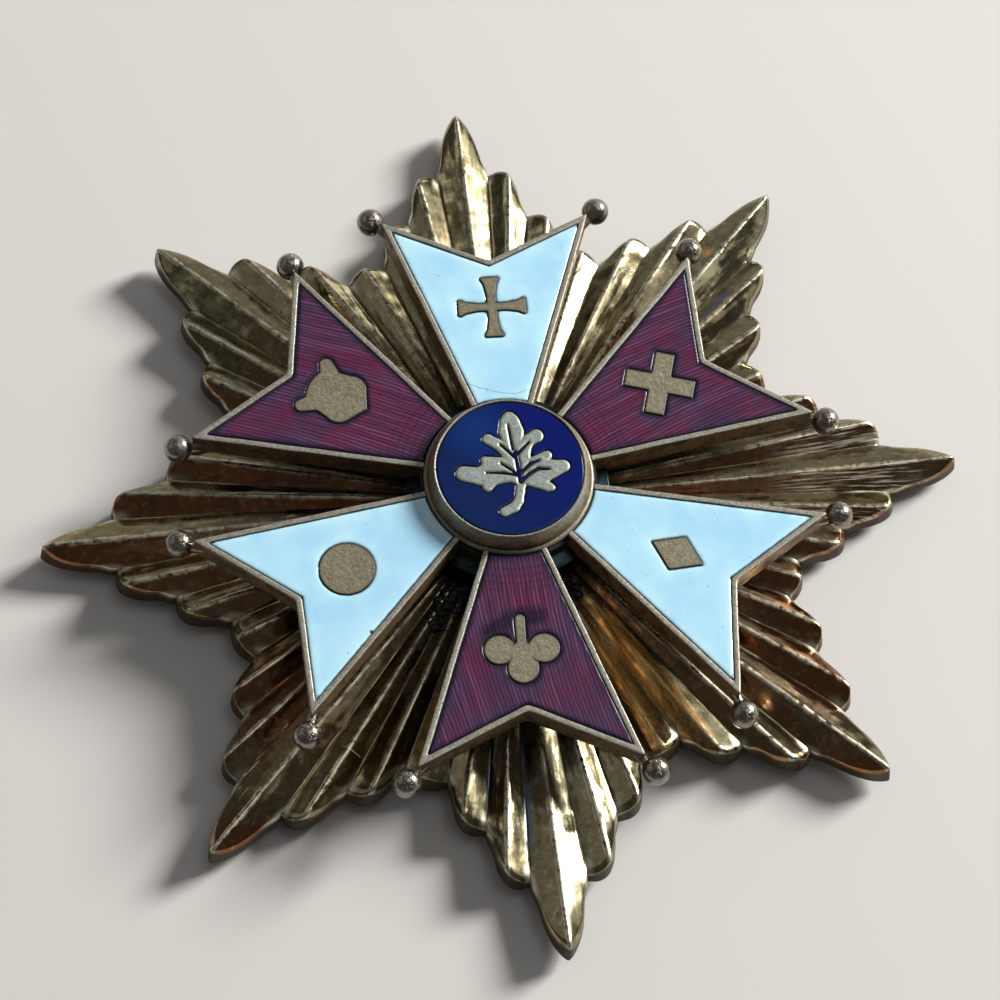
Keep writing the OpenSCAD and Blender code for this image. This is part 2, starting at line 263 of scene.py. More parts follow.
class ShapeGraph(Graph):
    """A Geometry Nodes tree with named inputs."""

    def __init__(self, name: str, sizes: dict[str, float]) -> None:
        """Makes the group, its geometry sockets and one input for each size."""
        tree = bpy.data.node_groups.new(name, "GeometryNodeTree")
        tree.interface.new_socket("Geometry", in_out="INPUT", socket_type="NodeSocketGeometry")
        tree.interface.new_socket("Geometry", in_out="OUTPUT", socket_type="NodeSocketGeometry")
        for label in sizes:
            tree.interface.new_socket(label, in_out="INPUT", socket_type="NodeSocketFloat")
        super().__init__(tree)
        self.sizes = sizes
        self.given = self.node("NodeGroupInput")

    def size(self, label: str) -> Num:
        """One of the named inputs."""
        return self.number(self.given, label)

    def keep(self, geometry: Socket, name: str, value: Num) -> Socket:
        """Stores a number on the points under a name."""
        made = self.node(
            "GeometryNodeStoreNamedAttribute",
            {"data_type": "FLOAT", "domain": "POINT"},
            {"Geometry": geometry, "Name": name, "Value": value},
        )
        return self.out(made)

    def carried(self, name: str, kind: str = "FLOAT") -> Socket:
        """A value that the seed's points carry."""
        made = self.node("GeometryNodeInputNamedAttribute", {"data_type": kind}, {"Name": name})
        return self.out(made, "Attribute")

    def copies(self, shape: Node, **options: Socket) -> Socket:
        """Puts a copy of a shape on each point of the seed."""
        inputs = {"Points": self.out(self.given, "Geometry"), "Instance": self.out(shape), **options}
        return self.out(self.node("GeometryNodeInstanceOnPoints", inputs=inputs))

    def roughened(self, copies: Socket, rise: Callable[[Socket], Num]) -> Socket:
        """Makes copies real and moves their points along the normals, by a rise that depends on the place."""
        real = self.node("GeometryNodeRealizeInstances", inputs={0: copies})
        spot = self.out(self.node("GeometryNodeInputPosition"))
        facing = self.out(self.node("GeometryNodeInputNormal"))
        move = self.node("ShaderNodeVectorMath", {"operation": "SCALE"}, {0: facing, "Scale": rise(spot)})
        inputs = {"Geometry": self.out(real), "Offset": self.out(move)}
        return self.out(self.node("GeometryNodeSetPosition", inputs=inputs))

    def finish(self, geometry: Socket, material: Material) -> None:
        """Ends the tree: smooth, real and painted."""
        smooth = self.node("GeometryNodeSetShadeSmooth", inputs={0: geometry})
        real = self.node("GeometryNodeRealizeInstances", inputs={0: self.out(smooth)})
        painted = self.node("GeometryNodeSetMaterial", inputs={0: self.out(real), "Material": material})
        self.node("NodeGroupOutput", inputs={0: self.out(painted)})

    def grow(self, name: str, seed: Mesh) -> Piece:
        """Runs the tree on a mesh and returns the plain result.

        Args:
            name: Name of the piece.
            seed: Mesh that the tree starts from.

        Returns:
            An object with the evaluated mesh and no modifier.
        """
        piece = link(name, seed)
        modifier = piece.modifiers.new("shape", "NODES")
        modifier.node_group = self.tree
        for item in self.tree.interface.items_tree:
            if item.in_out == "INPUT" and item.name in self.sizes:
                modifier[item.identifier] = float(self.sizes[item.name])
        return settled(piece)


def link(name: str, mesh: Mesh) -> Piece:
    """Puts a mesh into the scene as an object at the origin."""
    mesh.name = name
    piece = bpy.data.objects.new(name, mesh)
    bpy.context.scene.collection.objects.link(piece)
    return piece


def settled(piece: Piece) -> Piece:
    """Turns the modifiers of a piece into its mesh."""
    shapes = bpy.context.evaluated_depsgraph_get()
    mesh = bpy.data.meshes.new_from_object(piece.evaluated_get(shapes), depsgraph=shapes)
    piece.modifiers.clear()
    old = piece.data
    piece.data = mesh
    mesh.name = piece.name
    bpy.data.meshes.remove(old)
    return piece


def turn_outwards(mesh: Mesh, weld: bool = False) -> None:
    """Makes a closed mesh's faces point outwards.

    Args:
        mesh: Mesh to change.
        weld: Whether points in one place are merged and flat faces joined before that.
    """
    shape = bmesh.new()
    shape.from_mesh(mesh)
    if weld:
        bmesh.ops.remove_doubles(shape, verts=shape.verts, dist=0.0005 * MM)
        bmesh.ops.dissolve_limit(shape, angle_limit=0.5 * DEG, verts=shape.verts, edges=shape.edges)
    bmesh.ops.recalc_face_normals(shape, faces=shape.faces)
    shape.to_mesh(mesh)
    shape.free()


def shade(mesh: Mesh, crisp: float) -> None:
    """Shades a mesh smooth, with crisp edges past an angle in degrees."""
    mesh.polygons.foreach_set("use_smooth", [True] * len(mesh.polygons))
    mesh.set_sharp_from_angle(angle=crisp * DEG)


def loose_points(name: str, places: Sequence[Row], label: str, kind: str, values: object) -> Mesh:
    """Makes a seed of loose points.

    Args:
        name: Name of the mesh.
        places: Places in millimetres.
        label: Name of the value that each point carries.
        kind: Type of the value, FLOAT or FLOAT_VECTOR.
        values: The values in the order of the points.

    Returns:
        The mesh with its points.
    """
    mesh = bpy.data.meshes.new(name)
    mesh.from_pydata([tuple(MM * value for value in place) for place in places], [], [])
    mark = mesh.attributes.new(label, kind, "POINT")
    mark.data.foreach_set("value" if kind == "FLOAT" else "vector", np.ravel(values))
    return mesh


@dataclass
class Form:
    """A mesh in the making: points in millimetres, faces and numbers on the points."""

    points: list[Space] = field(default_factory=list)
    faces: list[tuple[int, ...]] = field(default_factory=list)
    marks: dict[str, list[float]] = field(default_factory=dict)

    def add(self, points: Points, faces: Sequence[Sequence[int]], **marks: Sequence[float]) -> None:
        """Adds points with their faces and marks.

        Args:
            points: New points, one a row.
            faces: Faces that count from the first new point.
            **marks: Numbers on the new points, by name.
        """
        start = len(self.points)
        self.points.extend(tuple(map(float, point)) for point in points)
        self.faces.extend(tuple(start + int(corner) for corner in face) for face in faces)
        for name in set(self.marks) | set(marks):
            values = self.marks.setdefault(name, [0.0] * start)
            values.extend(map(float, marks.get(name, [0.0] * len(points))))

    def piece(self, name: str, material: Material) -> Piece:
        """Makes the object with its finish."""
        mesh = bpy.data.meshes.new(name)
        mesh.from_pydata([tuple(MM * value for value in point) for point in self.points], [], self.faces)
        for label, values in self.marks.items():
            mark = mesh.attributes.new(label, "FLOAT", "POINT")
            mark.data.foreach_set("value", values)
        mesh.materials.append(material)
        turn_outwards(mesh)
        shade(mesh, CRISP)
        return link(name, mesh)


def polygon(corners: Sequence[Sequence[float]]) -> Outline:
    """Outline of a polygon, as a distance that is negative inside."""
    starts = np.asarray(corners, float)
    ends = np.roll(starts, -1, axis=0)

    def distance(at: Points) -> np.ndarray:
        """Distance of each point from the nearest side."""
        nearest = np.full(len(at), np.inf)
        inside = np.zeros(len(at), bool)
        for start, end in zip(starts, ends):
            side = end - start
            share = np.clip((at - start) @ side / (side @ side), 0, 1)
            nearest = np.minimum(nearest, np.linalg.norm(at - start - share[:, None] * side, axis=1))
            if start[1] != end[1]:
                crosses = (start[1] > at[:, 1]) != (end[1] > at[:, 1])
                inside ^= crosses & (at[:, 0] < start[0] + (at[:, 1] - start[1]) * side[0] / side[1])
        return np.where(inside, -nearest, nearest)

    return distance


def rod(inner: Sequence[float], inner_r: float, outer: Sequence[float], outer_r: float) -> Outline:
    """Outline of a rod with round ends of two radii."""
    start = np.asarray(inner, float)
    along = np.asarray(outer, float) - start
    length = max(along @ along, 1e-12)

    def distance(at: Points) -> np.ndarray:
        """Distance of each point from the rod's edge."""
        share = np.clip((at - start) @ along / length, 0, 1)
        reach = np.linalg.norm(at - start - share[:, None] * along, axis=1)
        return reach - inner_r - (outer_r - inner_r) * share

    return distance


def disc(centre: Sequence[float], radius: float) -> Outline:
    """Outline of a disc."""
    return rod(centre, radius, centre, radius)


def joined(outlines: Sequence[Outline], blend: float = 0) -> Outline:
    """Outline round several shapes, melted together where they meet if blend isn't zero."""
    def distance(at: Points) -> np.ndarray:
        """Distance of each point from the nearest shape."""
        values = np.array([outline(at) for outline in outlines])
        least = values.min(axis=0)
        if not blend:
            return least
        return least - blend * np.log(np.exp((least - values) / blend).sum(axis=0))

    return distance


def without(outline: Outline, *holes: Outline, margin: float = 0) -> Outline:
    """Outline of a shape with others cut out, which are grown by a margin."""
    def distance(at: Points) -> np.ndarray:
        """Distance of each point from the edge that is left."""
        result = outline(at)
        for hole in holes:
            result = np.maximum(result, margin - hole(at))
        return result

    return distance


@dataclass
class Relief:
    """A thin piece cut from a fine grid of triangles along an outline.

    Contours are cut into the grid at the given depths inside the edge, so that a bevel or a dark border
    has clean lines.
    """

    outline: Outline
    low: Place
    high: Place
    step: float
    contours: Row = (0.06, 0.15)
    corners: Sequence[Sequence[float]] = ()

    def _grid(self) -> tuple[Points, list[tuple[int, int, int]]]:
        """Rows of points, every other row moved by half a step, and the triangles between them."""
        row_h = self.step * math.sqrt(3) / 2
        columns = math.ceil((self.high[0] - self.low[0]) / self.step) + 3
        rows = math.ceil((self.high[1] - self.low[1]) / row_h) + 3
        across, up = np.meshgrid(np.arange(columns), np.arange(rows))
        x = self.low[0] + (across - 1 + 0.5 * (up % 2)) * self.step
        y = self.low[1] + (up - 1) * row_h
        triangles = []
        for row in range(rows - 1):
            for column in range(columns - 1):
                a = row * columns + column
                b, c, d = a + 1, a + columns, a + columns + 1
                triangles += [(a, b, d), (a, d, c)] if row % 2 else [(a, b, c), (b, d, c)]
        return np.stack([x.ravel(), y.ravel()], axis=1), triangles

    def _snapped(self, at: Points) -> tuple[Points, np.ndarray]:
        """Moves points that almost lie on a contour onto it, and corners of the outline into place."""
        depth = self.outline(at)
        small = 1e-4
        moves = ((small, 0), (0, small))
        slope = np.stack([(self.outline(at + np.array(move)) - depth) / small for move in moves], axis=1)
        slope /= np.maximum(np.linalg.norm(slope, axis=1), 1e-6)[:, None]
        levels = -np.array((0,) + self.contours)
        off = depth[:, None] - levels
        nearest = np.abs(off).argmin(axis=1)
        off = off[np.arange(len(at)), nearest]
        near = np.abs(off) < 0.3 * self.step
        at = np.where(near[:, None], at - slope * off[:, None], at)
        depth = np.where(near, levels[nearest], depth)
        for corner in self.corners:
            closest = np.linalg.norm(at - np.asarray(corner), axis=1).argmin()
            at[closest] = corner
            depth[closest] = 0
        return at, depth

    def cut(self) -> tuple[Points, np.ndarray, list[tuple[int, int, int]]]:
        """Cuts the grid.

        Returns:
            The points, how far inside the edge each one lies, and the triangles inside the outline.
        """
        at, triangles = self._grid()
        at, depth = self._snapped(at)
        points = [tuple(point) for point in at]
        values = list(depth)
        for level in (0.0, *(-contour for contour in self.contours)):
            triangles = self._split(points, values, triangles, level)
            if level == 0:
                triangles = [t for t in triangles if max(values[i] for i in t) < 1e-6]
        used = sorted({i for t in triangles for i in t})
        place = {old: new for new, old in enumerate(used)}
        return (
            np.array([points[i] for i in used]),
            -np.array([values[i] for i in used]),
            [tuple(place[i] for i in t) for t in triangles],
        )

    @staticmethod
    def _split(points: list, values: list, triangles: list, level: float) -> list[tuple[int, int, int]]:
        """Cuts the triangles that a contour crosses, adding points on it."""
        known: dict[tuple[int, int], int] = {}

        def between(a: int, b: int) -> int:
            """Point where an edge meets the contour."""
            key = (min(a, b), max(a, b))
            if key not in known:
                share = (level - values[a]) / (values[b] - values[a])
                start, end = points[a], points[b]
                points.append(tuple(s + share * (e - s) for s, e in zip(start, end)))
                values.append(level)
                known[key] = len(points) - 1
            return known[key]

        result = []
        for triangle in triangles:
            signs = [0 if abs(values[i] - level) < 1e-7 else 1 if values[i] > level else -1 for i in triangle]
            if 1 not in signs or -1 not in signs:
                result.append(triangle)
                continue
            lone = signs.index(0) if 0 in signs else signs.index(-1 if signs.count(-1) == 1 else 1)
            a, b, c = triangle[lone:] + triangle[:lone]
            if 0 in signs:
                middle = between(b, c)
                result += [(a, b, middle), (a, middle, c)]
            else:
                first, second = between(a, b), between(a, c)
                result += [(a, first, second), (first, b, c), (first, c, second)]
        return result

    def raise_on(
        self,
        form: Form,
        bottom: float,
        top: Top,
        place: Callable[[Points], Points] = lambda at: at,
    ) -> None:
        """Adds the piece to a form, with its top surface, its walls and its underside.

        Args:
            form: Form that takes the points and faces.
            bottom: Height of the underside.
            top: Gives the height of the top from the place and the distance to the edge.
            place: Moves flat points to where they belong on the brooch.
        """
        at, depth, triangles = self.cut()
        count = len(at)
        flat = place(at)
        upper = np.column_stack([flat, top(at, depth)])
        lower = np.column_stack([flat, np.full(count, bottom)])
        edges = {edge for a, b, c in triangles for edge in ((a, b), (b, c), (c, a))}
        walls = [(b, a, a + count, b + count) for a, b in edges if (b, a) not in edges]
        under = [(a + count, c + count, b + count) for a, b, c in triangles]
        form.add(
            np.vstack([upper, lower]),
            triangles + walls + under,
            depth=np.concatenate([depth, depth]),
            arm_x=np.concatenate([at[:, 0]] * 2),
            arm_y=np.concatenate([at[:, 1]] * 2),
        )


def ripple(at: Points, length: float, seed: int) -> np.ndarray:
    """Smooth irregular waves of about the given length, from -1 to 1.

    Args:
        at: Places, one a row, with two or three columns.
        length: Rough distance between two crests.
        seed: Whole number that makes the waves different.

    Returns:
        The height of the waves at each place.
    """
    shift = Vector((7.3 * seed, 3.1 * seed, 1.7 * seed))
    return np.array([noise.noise(Vector((*point, 0.0)[:3]) / length + shift) for point in at])


def eased(top: float, drop: float, width: float, swell: float, length: float, seed: int) -> Top:
    """Top surface that sinks towards its edge and waves a little.

    Args:
        top: Height of the middle.
        drop: How far it sinks at the edge.
        width: How far inside the edge it begins to sink.
        swell: Height of the waves.
        length: Rough distance between two crests.
        seed: Whole number that makes the waves different.

    Returns:
        Function that gives the height from the place and the distance to the edge.
    """
    def height(at: Points, depth: np.ndarray) -> np.ndarray:
        """Height of each point."""
        return top - drop * np.clip(1 - depth / width, 0, 1) ** 2 + swell * ripple(at, length, seed)

    return height


@dataclass(frozen=True)
class Levels:
    """Heights of the main planes, taken from the frame."""

    rim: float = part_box("star_plate")[0].z / MM
    ridge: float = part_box("star_plate")[1].z / MM
    cross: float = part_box("cross_frame")[0].z / MM
    enamel: tuple[float, float] = (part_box("enamel_white_top")[0].z / MM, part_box("enamel_white_top")[1].z / MM)
    cross_top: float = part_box("cross_frame")[1].z / MM
    blue: tuple[float, float] = (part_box("boss_enamel")[0].z / MM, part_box("boss_enamel")[1].z / MM)
    stud_end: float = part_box("boss_bezel")[0].z / MM
    lip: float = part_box("boss_bezel")[1].z / MM


LEVELS = Levels()


class Finish:
    """A surface finish. Each kind paints one material."""

    name: str

    def material(self) -> Material:
        """Makes the material with its shader."""
        made = bpy.data.materials.new(self.name)
        made.use_nodes = True
        graph = Graph(made.node_tree)
        shader = graph.node("ShaderNodeBsdfPrincipled")
        graph.node("ShaderNodeOutputMaterial", inputs={0: graph.out(shader)})
        for key, value in self.paint(graph).items():
            graph.feed(shader.inputs[key], value)
        return made

    def paint(self, graph: Graph) -> dict[str, object]:
        """Gives the shader's inputs."""
        raise NotImplementedError

    @staticmethod
    def place(graph: Graph) -> Socket:
        """Place on the brooch, in millimetres."""
        given = graph.out(graph.node("ShaderNodeTexCoord"), "Object")
        inputs = {0: given, "Scale": 1 / MM}
        return graph.out(graph.node("ShaderNodeVectorMath", {"operation": "SCALE"}, inputs))

    @staticmethod
    def mark(graph: Graph, name: str) -> Num:
        """A number that the piece's points carry."""
        return graph.number(graph.node("ShaderNodeAttribute", {"attribute_name": name}), "Fac")

    @staticmethod
    def coated(graph: Graph, ground: object, *coats: tuple[Num, object]) -> Socket:
        """Lays colours over a ground.

        Args:
            graph: Tree of the material.
            ground: Colour below them all.
            *coats: Share and colour of each coat, in the order in which they are laid.

        Returns:
            The colour of the surface.
        """
        for share, colour in coats:
            inputs = {"Factor_Float": share, "A_Color": ground, "B_Color": colour}
            ground = graph.out(graph.node("ShaderNodeMix", {"data_type": "RGBA"}, inputs), "Result_Color")
        return ground

    @staticmethod
    def bump(graph: Graph, height: Num, depth: float, below: Socket | None = None) -> Socket:
        """Surface tilt from a height, with the depth of a full step in millimetres."""
        inputs = {"Height": height, "Distance": depth * MM, "Strength": 1.0}
        if below is not None:
            inputs["Normal"] = below
        return graph.out(graph.node("ShaderNodeBump", inputs=inputs))

    @staticmethod
    def stroke(x: Num, y: Num, start: Place, end: Place, width: float) -> Num:
        """Straight mark between two places: 1 along its line, and 0 past its width."""
        length = math.dist(start, end)
        along_x, along_y = ((b - a) / length for a, b in zip(start, end))
        run = ((x - start[0]) * along_x + (y - start[1]) * along_y).most(0).least(length)
        off_x, off_y = x - start[0] - run * along_x, y - start[1] - run * along_y
        return 1 - (off_x * off_x + off_y * off_y).root().ramp(width * 0.3, width)

    @classmethod
    def strokes(cls, x: Num, y: Num, lines: Iterable[tuple[Place, Place]], width: float) -> Num:
        """Straight marks of one width, each between its own two places."""
        return reduce(Num.most, (cls.stroke(x, y, start, end, width) for start, end in lines))

    @staticmethod
    def spots(x: Num, y: Num, table: Iterable[Row]) -> Num:
        """Round marks from rows of place, inner and outer distance: 1 within the first, 0 past the second."""
        found = []
        for spot_x, spot_y, inner, outer in table:
            off_x, off_y = x - spot_x, y - spot_y
            found.append(1 - (off_x * off_x + off_y * off_y).root().ramp(inner, outer))
        return reduce(Num.most, found)


class GiltPatterns:
    """Places, noises and the numbers on the star's points, from which its finish is painted."""

    def __init__(self, graph: Graph) -> None:
        """Adds the nodes that the coats share."""
        self.at = Finish.place(graph)
        self.x, self.y, _ = graph.parts(self.at)
        self.reach = (self.x * self.x + self.y * self.y).root()
        self.side, self.ahead = self.x / self.reach, self.y / self.reach
        self.along = self.stretched(graph, 0.16)
        self.streaks = graph.noise(self.along, 1.6, 3, 0.55)
        self.tints = graph.noise(self.along, 0.42, 2)
        self.patches = graph.noise(self.at, 0.22, 4, 0.6, 0.4)
        self.stains = graph.noise(self.at, 0.5, 5, 0.65, 0.8)
        self.mottle = graph.noise(self.at, 1.5, 4, 0.62, 0.5)
        self.grain = graph.noise(self.at, 7, 3, 0.6)
        self.crest, self.valley, self.wall, self.flank, self.ending = (
            Finish.mark(graph, label) for label in ("crest", "valley", "wall", "flank", "ending")
        )

    def stretched(self, graph: Graph, share: float, spread: float = 26) -> Socket:
        """Place for patterns that run along the flutes: the distance outwards counts by a small share."""
        return graph.vector(self.side * spread, self.ahead * spread, self.reach * share)


@dataclass(frozen=True)
class TarnishedGilt(Finish):
    """Old gilding on the star: olive and brown on the flutes, bright on the ridges, painted shade on its rim."""

    name: str = "tarnished_gilt"
    olive: Colour = (0.25, 0.23, 0.135)
    gold: Colour = (0.35, 0.29, 0.155)
    brown: Colour = (0.16, 0.105, 0.055)
    # Red-brown: painted shade on flanks that face away from the light, and rust on the rusty places
    russet: Colour = (0.33, 0.11, 0.04)
    dull: Colour = (0.085, 0.065, 0.038)
    bright: Colour = (0.78, 0.74, 0.56)
    # Painted shade on the turned-down wall of the rim
    rim: Colour = (0.030, 0.018, 0.009)
    # Near-black for the darkening near the boss, partly grime and partly painted shade under the arms, and along
    # the grooves
    grime_and_shade: Colour = (0.012, 0.012, 0.010)
    amber: Colour = (0.55, 0.27, 0.06)
    # Lighter streaks on the lacquer: partly its own colour, partly painted highlight
    honey: Colour = (0.86, 0.60, 0.24)
    blued: Colour = (0.11, 0.14, 0.20)
    # Wedges between two arms that hold amber lacquer: bearing, half width, inner and outer distance
    lacquer: tuple[Row, ...] = ((150.6, 0.85, 11, 27), (157.0, 0.5, 12, 26))
    # Drops of lacquer elsewhere, and places gone red-brown: place, inner and outer distance
    drops: tuple[Row, ...] = ((18.4, -19.4, 0.2, 0.7), (20.4, 21.9, 0.2, 0.8))
    rusty: tuple[Row, ...] = ((27.5, -14, 6, 11), (-24, -26.2, 1.2, 3.6), (-20.5, -15, 2, 7))
    # How far up the painted red-brown shade of the flanks reaches: where it begins to fade and where it ends
    russet_top: Place = (11, 17)
    # Worn and brushed lower flank of the right ray: place, inner and outer distance
    brushed: Row = (29, -1, 4.5, 8)
    # Blue stripes along grooves, and bright scratches across the flutes: start and end
    stripes: tuple[tuple[Place, Place], ...] = (
        ((-1.2, -20.5), (-2.05, -29.5)), ((-4.0, -20.7), (-4.7, -26.2)), ((19.2, 15.4), (21.6, 17.7))
    )
    scratches: tuple[tuple[Place, Place], ...] = (
        ((6.9, -18.3), (8.1, -19.9)), ((5.8, -10.7), (6.5, -11.5)), ((-15.6, -19.7), (-14.3, -20.7)),
        ((5.0, 11.8), (6.0, 9.6)), ((7.1, 10.8), (5.9, 9.5)),
    )
    stripe_width: float = 0.4
    scratch_width: float = 0.05

    def paint(self, graph: Graph) -> dict[str, object]:
        """Gives the shader's inputs."""
        p = GiltPatterns(graph)
        brushed = self._brushed(graph, p)
        clean = p.streaks * 0.4 + p.patches * 0.35 + p.stains * 0.25 - p.ending.ramp(3, 10) * 0.09
        tarnish = clean.ramp(0.46, 0.36)
        # Rubbed ridges with painted highlight along them, and painted highlight in the notches
        worn = self._rubbed_and_highlit(p, tarnish)
        lacquer = self._lacquered(graph, p).most(self.spots(p.x, p.y, self.drops) * 0.7)
        blue = self.strokes(p.x, p.y, self.stripes, self.stripe_width) * p.streaks.ramp(0.3, 0.5)
        scratch = self.strokes(p.x, p.y, self.scratches, self.scratch_width)
        # Darker near the boss, where the arms overhang: partly grime, partly painted shade
        near_boss = (1 - p.reach.ramp(8.2, 12.5)) * graph.noise(p.at, 0.7, 4).ramp(0.35, 0.5)
        # Darker along the grooves, in patches
        groove_darkening = (1 - p.valley.ramp(0.02, 0.14)) * p.stains.ramp(0.42, 0.6)
        grime_and_shade = (groove_darkening * 0.5).most(near_boss)
        edge = p.wall.ramp(0.24, 0.42)
        colour = self.coated(
            graph,
            self.olive,
            (p.tints.ramp(0.42, 0.60), self.gold),
            (p.stains.ramp(0.50, 0.66) * p.patches.ramp(0.40, 0.58) * 0.8, self.brown),
            # Painted red-brown shade on flanks facing away from the light, and rust
            (self._flank_shade_and_rust(p), self.russet),
            ((p.mottle * 0.5 + p.stains * 0.5).ramp(0.54, 0.34) * 0.6, self.dull),
            ((p.mottle.ramp(0.56, 0.76) * 0.4).most(brushed * 0.85), self.bright),
            (tarnish * 0.7, self.dull),
            # Rubbed metal and painted highlight
            (worn * 0.7, self.bright),
            (lacquer, self.amber),
            # Honey streaks on the lacquer, partly painted highlight
            (lacquer * p.streaks.ramp(0.48, 0.60), self.honey),
            (blue * 0.85, self.blued),
            (scratch * 0.55, self.bright),
            # Painted shade on the rim's wall
            (edge * 0.92, self.rim),
            # Grime and painted shade near the boss, and darkening along the grooves
            (grime_and_shade, self.grime_and_shade),
        )
        rough = p.grain * 0.06 + 0.10 + tarnish * 0.28 + worn * 0.20 + brushed * 0.35 + grime_and_shade * 0.2
        dents = self.bump(graph, graph.noise(p.at, 0.42, 1), 0.10)
        shine = (1 - near_boss * 0.5) * (1 - edge * 0.9) * (1 - tarnish * 0.35) * (1 - lacquer * 0.55)
        return {
            "Base Color": colour,
            "Metallic": shine,
            "Specular IOR Level": 0.25,
            "Roughness": (rough + edge * 0.3 + scratch * 0.3).least(0.7),
            "Normal": self.bump(graph, p.streaks * 0.25 + p.mottle * 0.05 + p.grain * 0.03, 0.05, dents),
        }

    def _flank_shade_and_rust(self, p: GiltPatterns) -> Num:
        """Share of red-brown: painted shade on the flanks that face away from the light, and rust in the rusty
        places.
        """
        south, east = p.flank * p.side, p.flank * p.ahead
        share = south.ramp(0.3, 0.8) * (1 - east.ramp(0, 0.6) * 0.75) * p.tints.ramp(0.28, 0.46) * 0.85
        share = share * (1 - p.y.ramp(*self.russet_top))
        return share.most(self.spots(p.x, p.y, self.rusty) * p.streaks.ramp(0.3, 0.5) * 0.85)

    def _brushed(self, graph: Graph, p: GiltPatterns) -> Num:
        """Share of fine bright strokes on the brushed flank."""
        flank = self.spots(p.x, p.y, [self.brushed]) * (p.flank * p.side).ramp(0, 0.3)
        return flank * graph.noise(p.stretched(graph, 0.04), 7, 3, 0.6).ramp(0.47, 0.60)

    @staticmethod
    def _rubbed_and_highlit(p: GiltPatterns, tarnish: Num) -> Num:
        """Share of metal painted bright: rubbed on the ridges and partly painted highlight there, and painted
        highlight in the notches at the edge.
        """
        wide = p.stains * 0.45 + p.patches * 0.35 - 0.24
        crest = (1 - (p.crest - wide).ramp(0, 0.10)) * p.mottle.ramp(0.34, 0.52) * (1 - tarnish * 0.7)
        # Painted highlight in the notches at the edge
        notch = (1 - p.valley.ramp(0.3, 0.7)) * (1 - p.ending.ramp(0.7, 1.6)) * p.patches.ramp(0.38, 0.5)
        return crest.most(notch)

    def _lacquered(self, graph: Graph, p: GiltPatterns) -> Num:
        """Share of amber lacquer that is left in its wedges, cracked towards the edge."""
        cracks = 1 - abs(graph.noise(p.along, 2.6, 4, 0.7) - 0.5).ramp(0.015, 0.05)
        patchy = graph.noise(p.along, 1.6, 4, 0.7).ramp(0.34, 0.44)
        zones = []
        for bearing, half, near, far in self.lacquer:
            s, c = math.sin(bearing * DEG), math.cos(bearing * DEG)
            out = p.x * s + p.y * c
            off = abs(p.x * c - p.y * s)
            zone = (1 - off.ramp(half, half + 0.5)) * out.ramp(near, near + 3) * (1 - out.ramp(far - 3, far))
            zones.append(zone * patchy * (1 - cracks * out.ramp(17, 23) * 0.9))
        return reduce(Num.most, zones)


@dataclass(frozen=True)
class WornPewter(Finish):
    """Grey-brown worn metal of the cross and the boss, pitted, with painted shade in its sunk places, darkest
    near the middle.
    """

    name: str = "worn_pewter"
    metal: Colour = (0.29, 0.275, 0.225)
    brass: Colour = (0.25, 0.145, 0.05)
    shine: Colour = (0.46, 0.44, 0.37)
    # Near-black for painted shade in sunk places, grime in the pits and dark patches on the walls
    grime_and_shade: Colour = (0.010, 0.013, 0.012)
    # Radii over which the painted shade of sunk places fades out from the middle
    shade_reach: Place = (7.1, 8.6)
    polish: float = 0.34
    shining: float = 0.55
    speckle: float = 0.75

    def paint(self, graph: Graph) -> dict[str, object]:
        """Gives the shader's inputs."""
        at = self.place(graph)
        x, y, _ = graph.parts(at)
        reach = (x * x + y * y).root()
        blotches = graph.noise(at, 0.9, 4, 0.6)
        specks = graph.noise(at, 4.5, 3, 0.65)
        pitted = 1 - graph.noise(at, 7.5, 2, 0.5).ramp(0.33, 0.41)
        wall, sunk = (self.mark(graph, label) for label in ("wall", "sunk"))
        # Painted shade in sunk places, darkest near the middle, with grime in the pits and dark patches on the
        # walls
        grime_and_shade = ((1 - reach.ramp(*self.shade_reach)) * sunk).most(pitted * self.speckle)
        grime_and_shade = grime_and_shade.most(wall * blotches.ramp(0.55, 0.40) * 0.7).most(sunk * 0.8)
        colour = self.coated(
            graph,
            self.metal,
            (specks.ramp(0.38, 0.70), self.shine),
            (blotches.ramp(0.52, 0.72) * 0.4, self.brass),
            (wall * 0.85, self.brass),
            (grime_and_shade, self.grime_and_shade),
        )
        return {
            "Base Color": colour,
            "Metallic": (1 - grime_and_shade * 0.6) * self.shining,
            "Roughness": specks * 0.2 + self.polish + grime_and_shade * 0.25,
            "Normal": self.bump(graph, blotches * 0.5 + specks * 0.3 - pitted * 0.5, 0.03),
        }


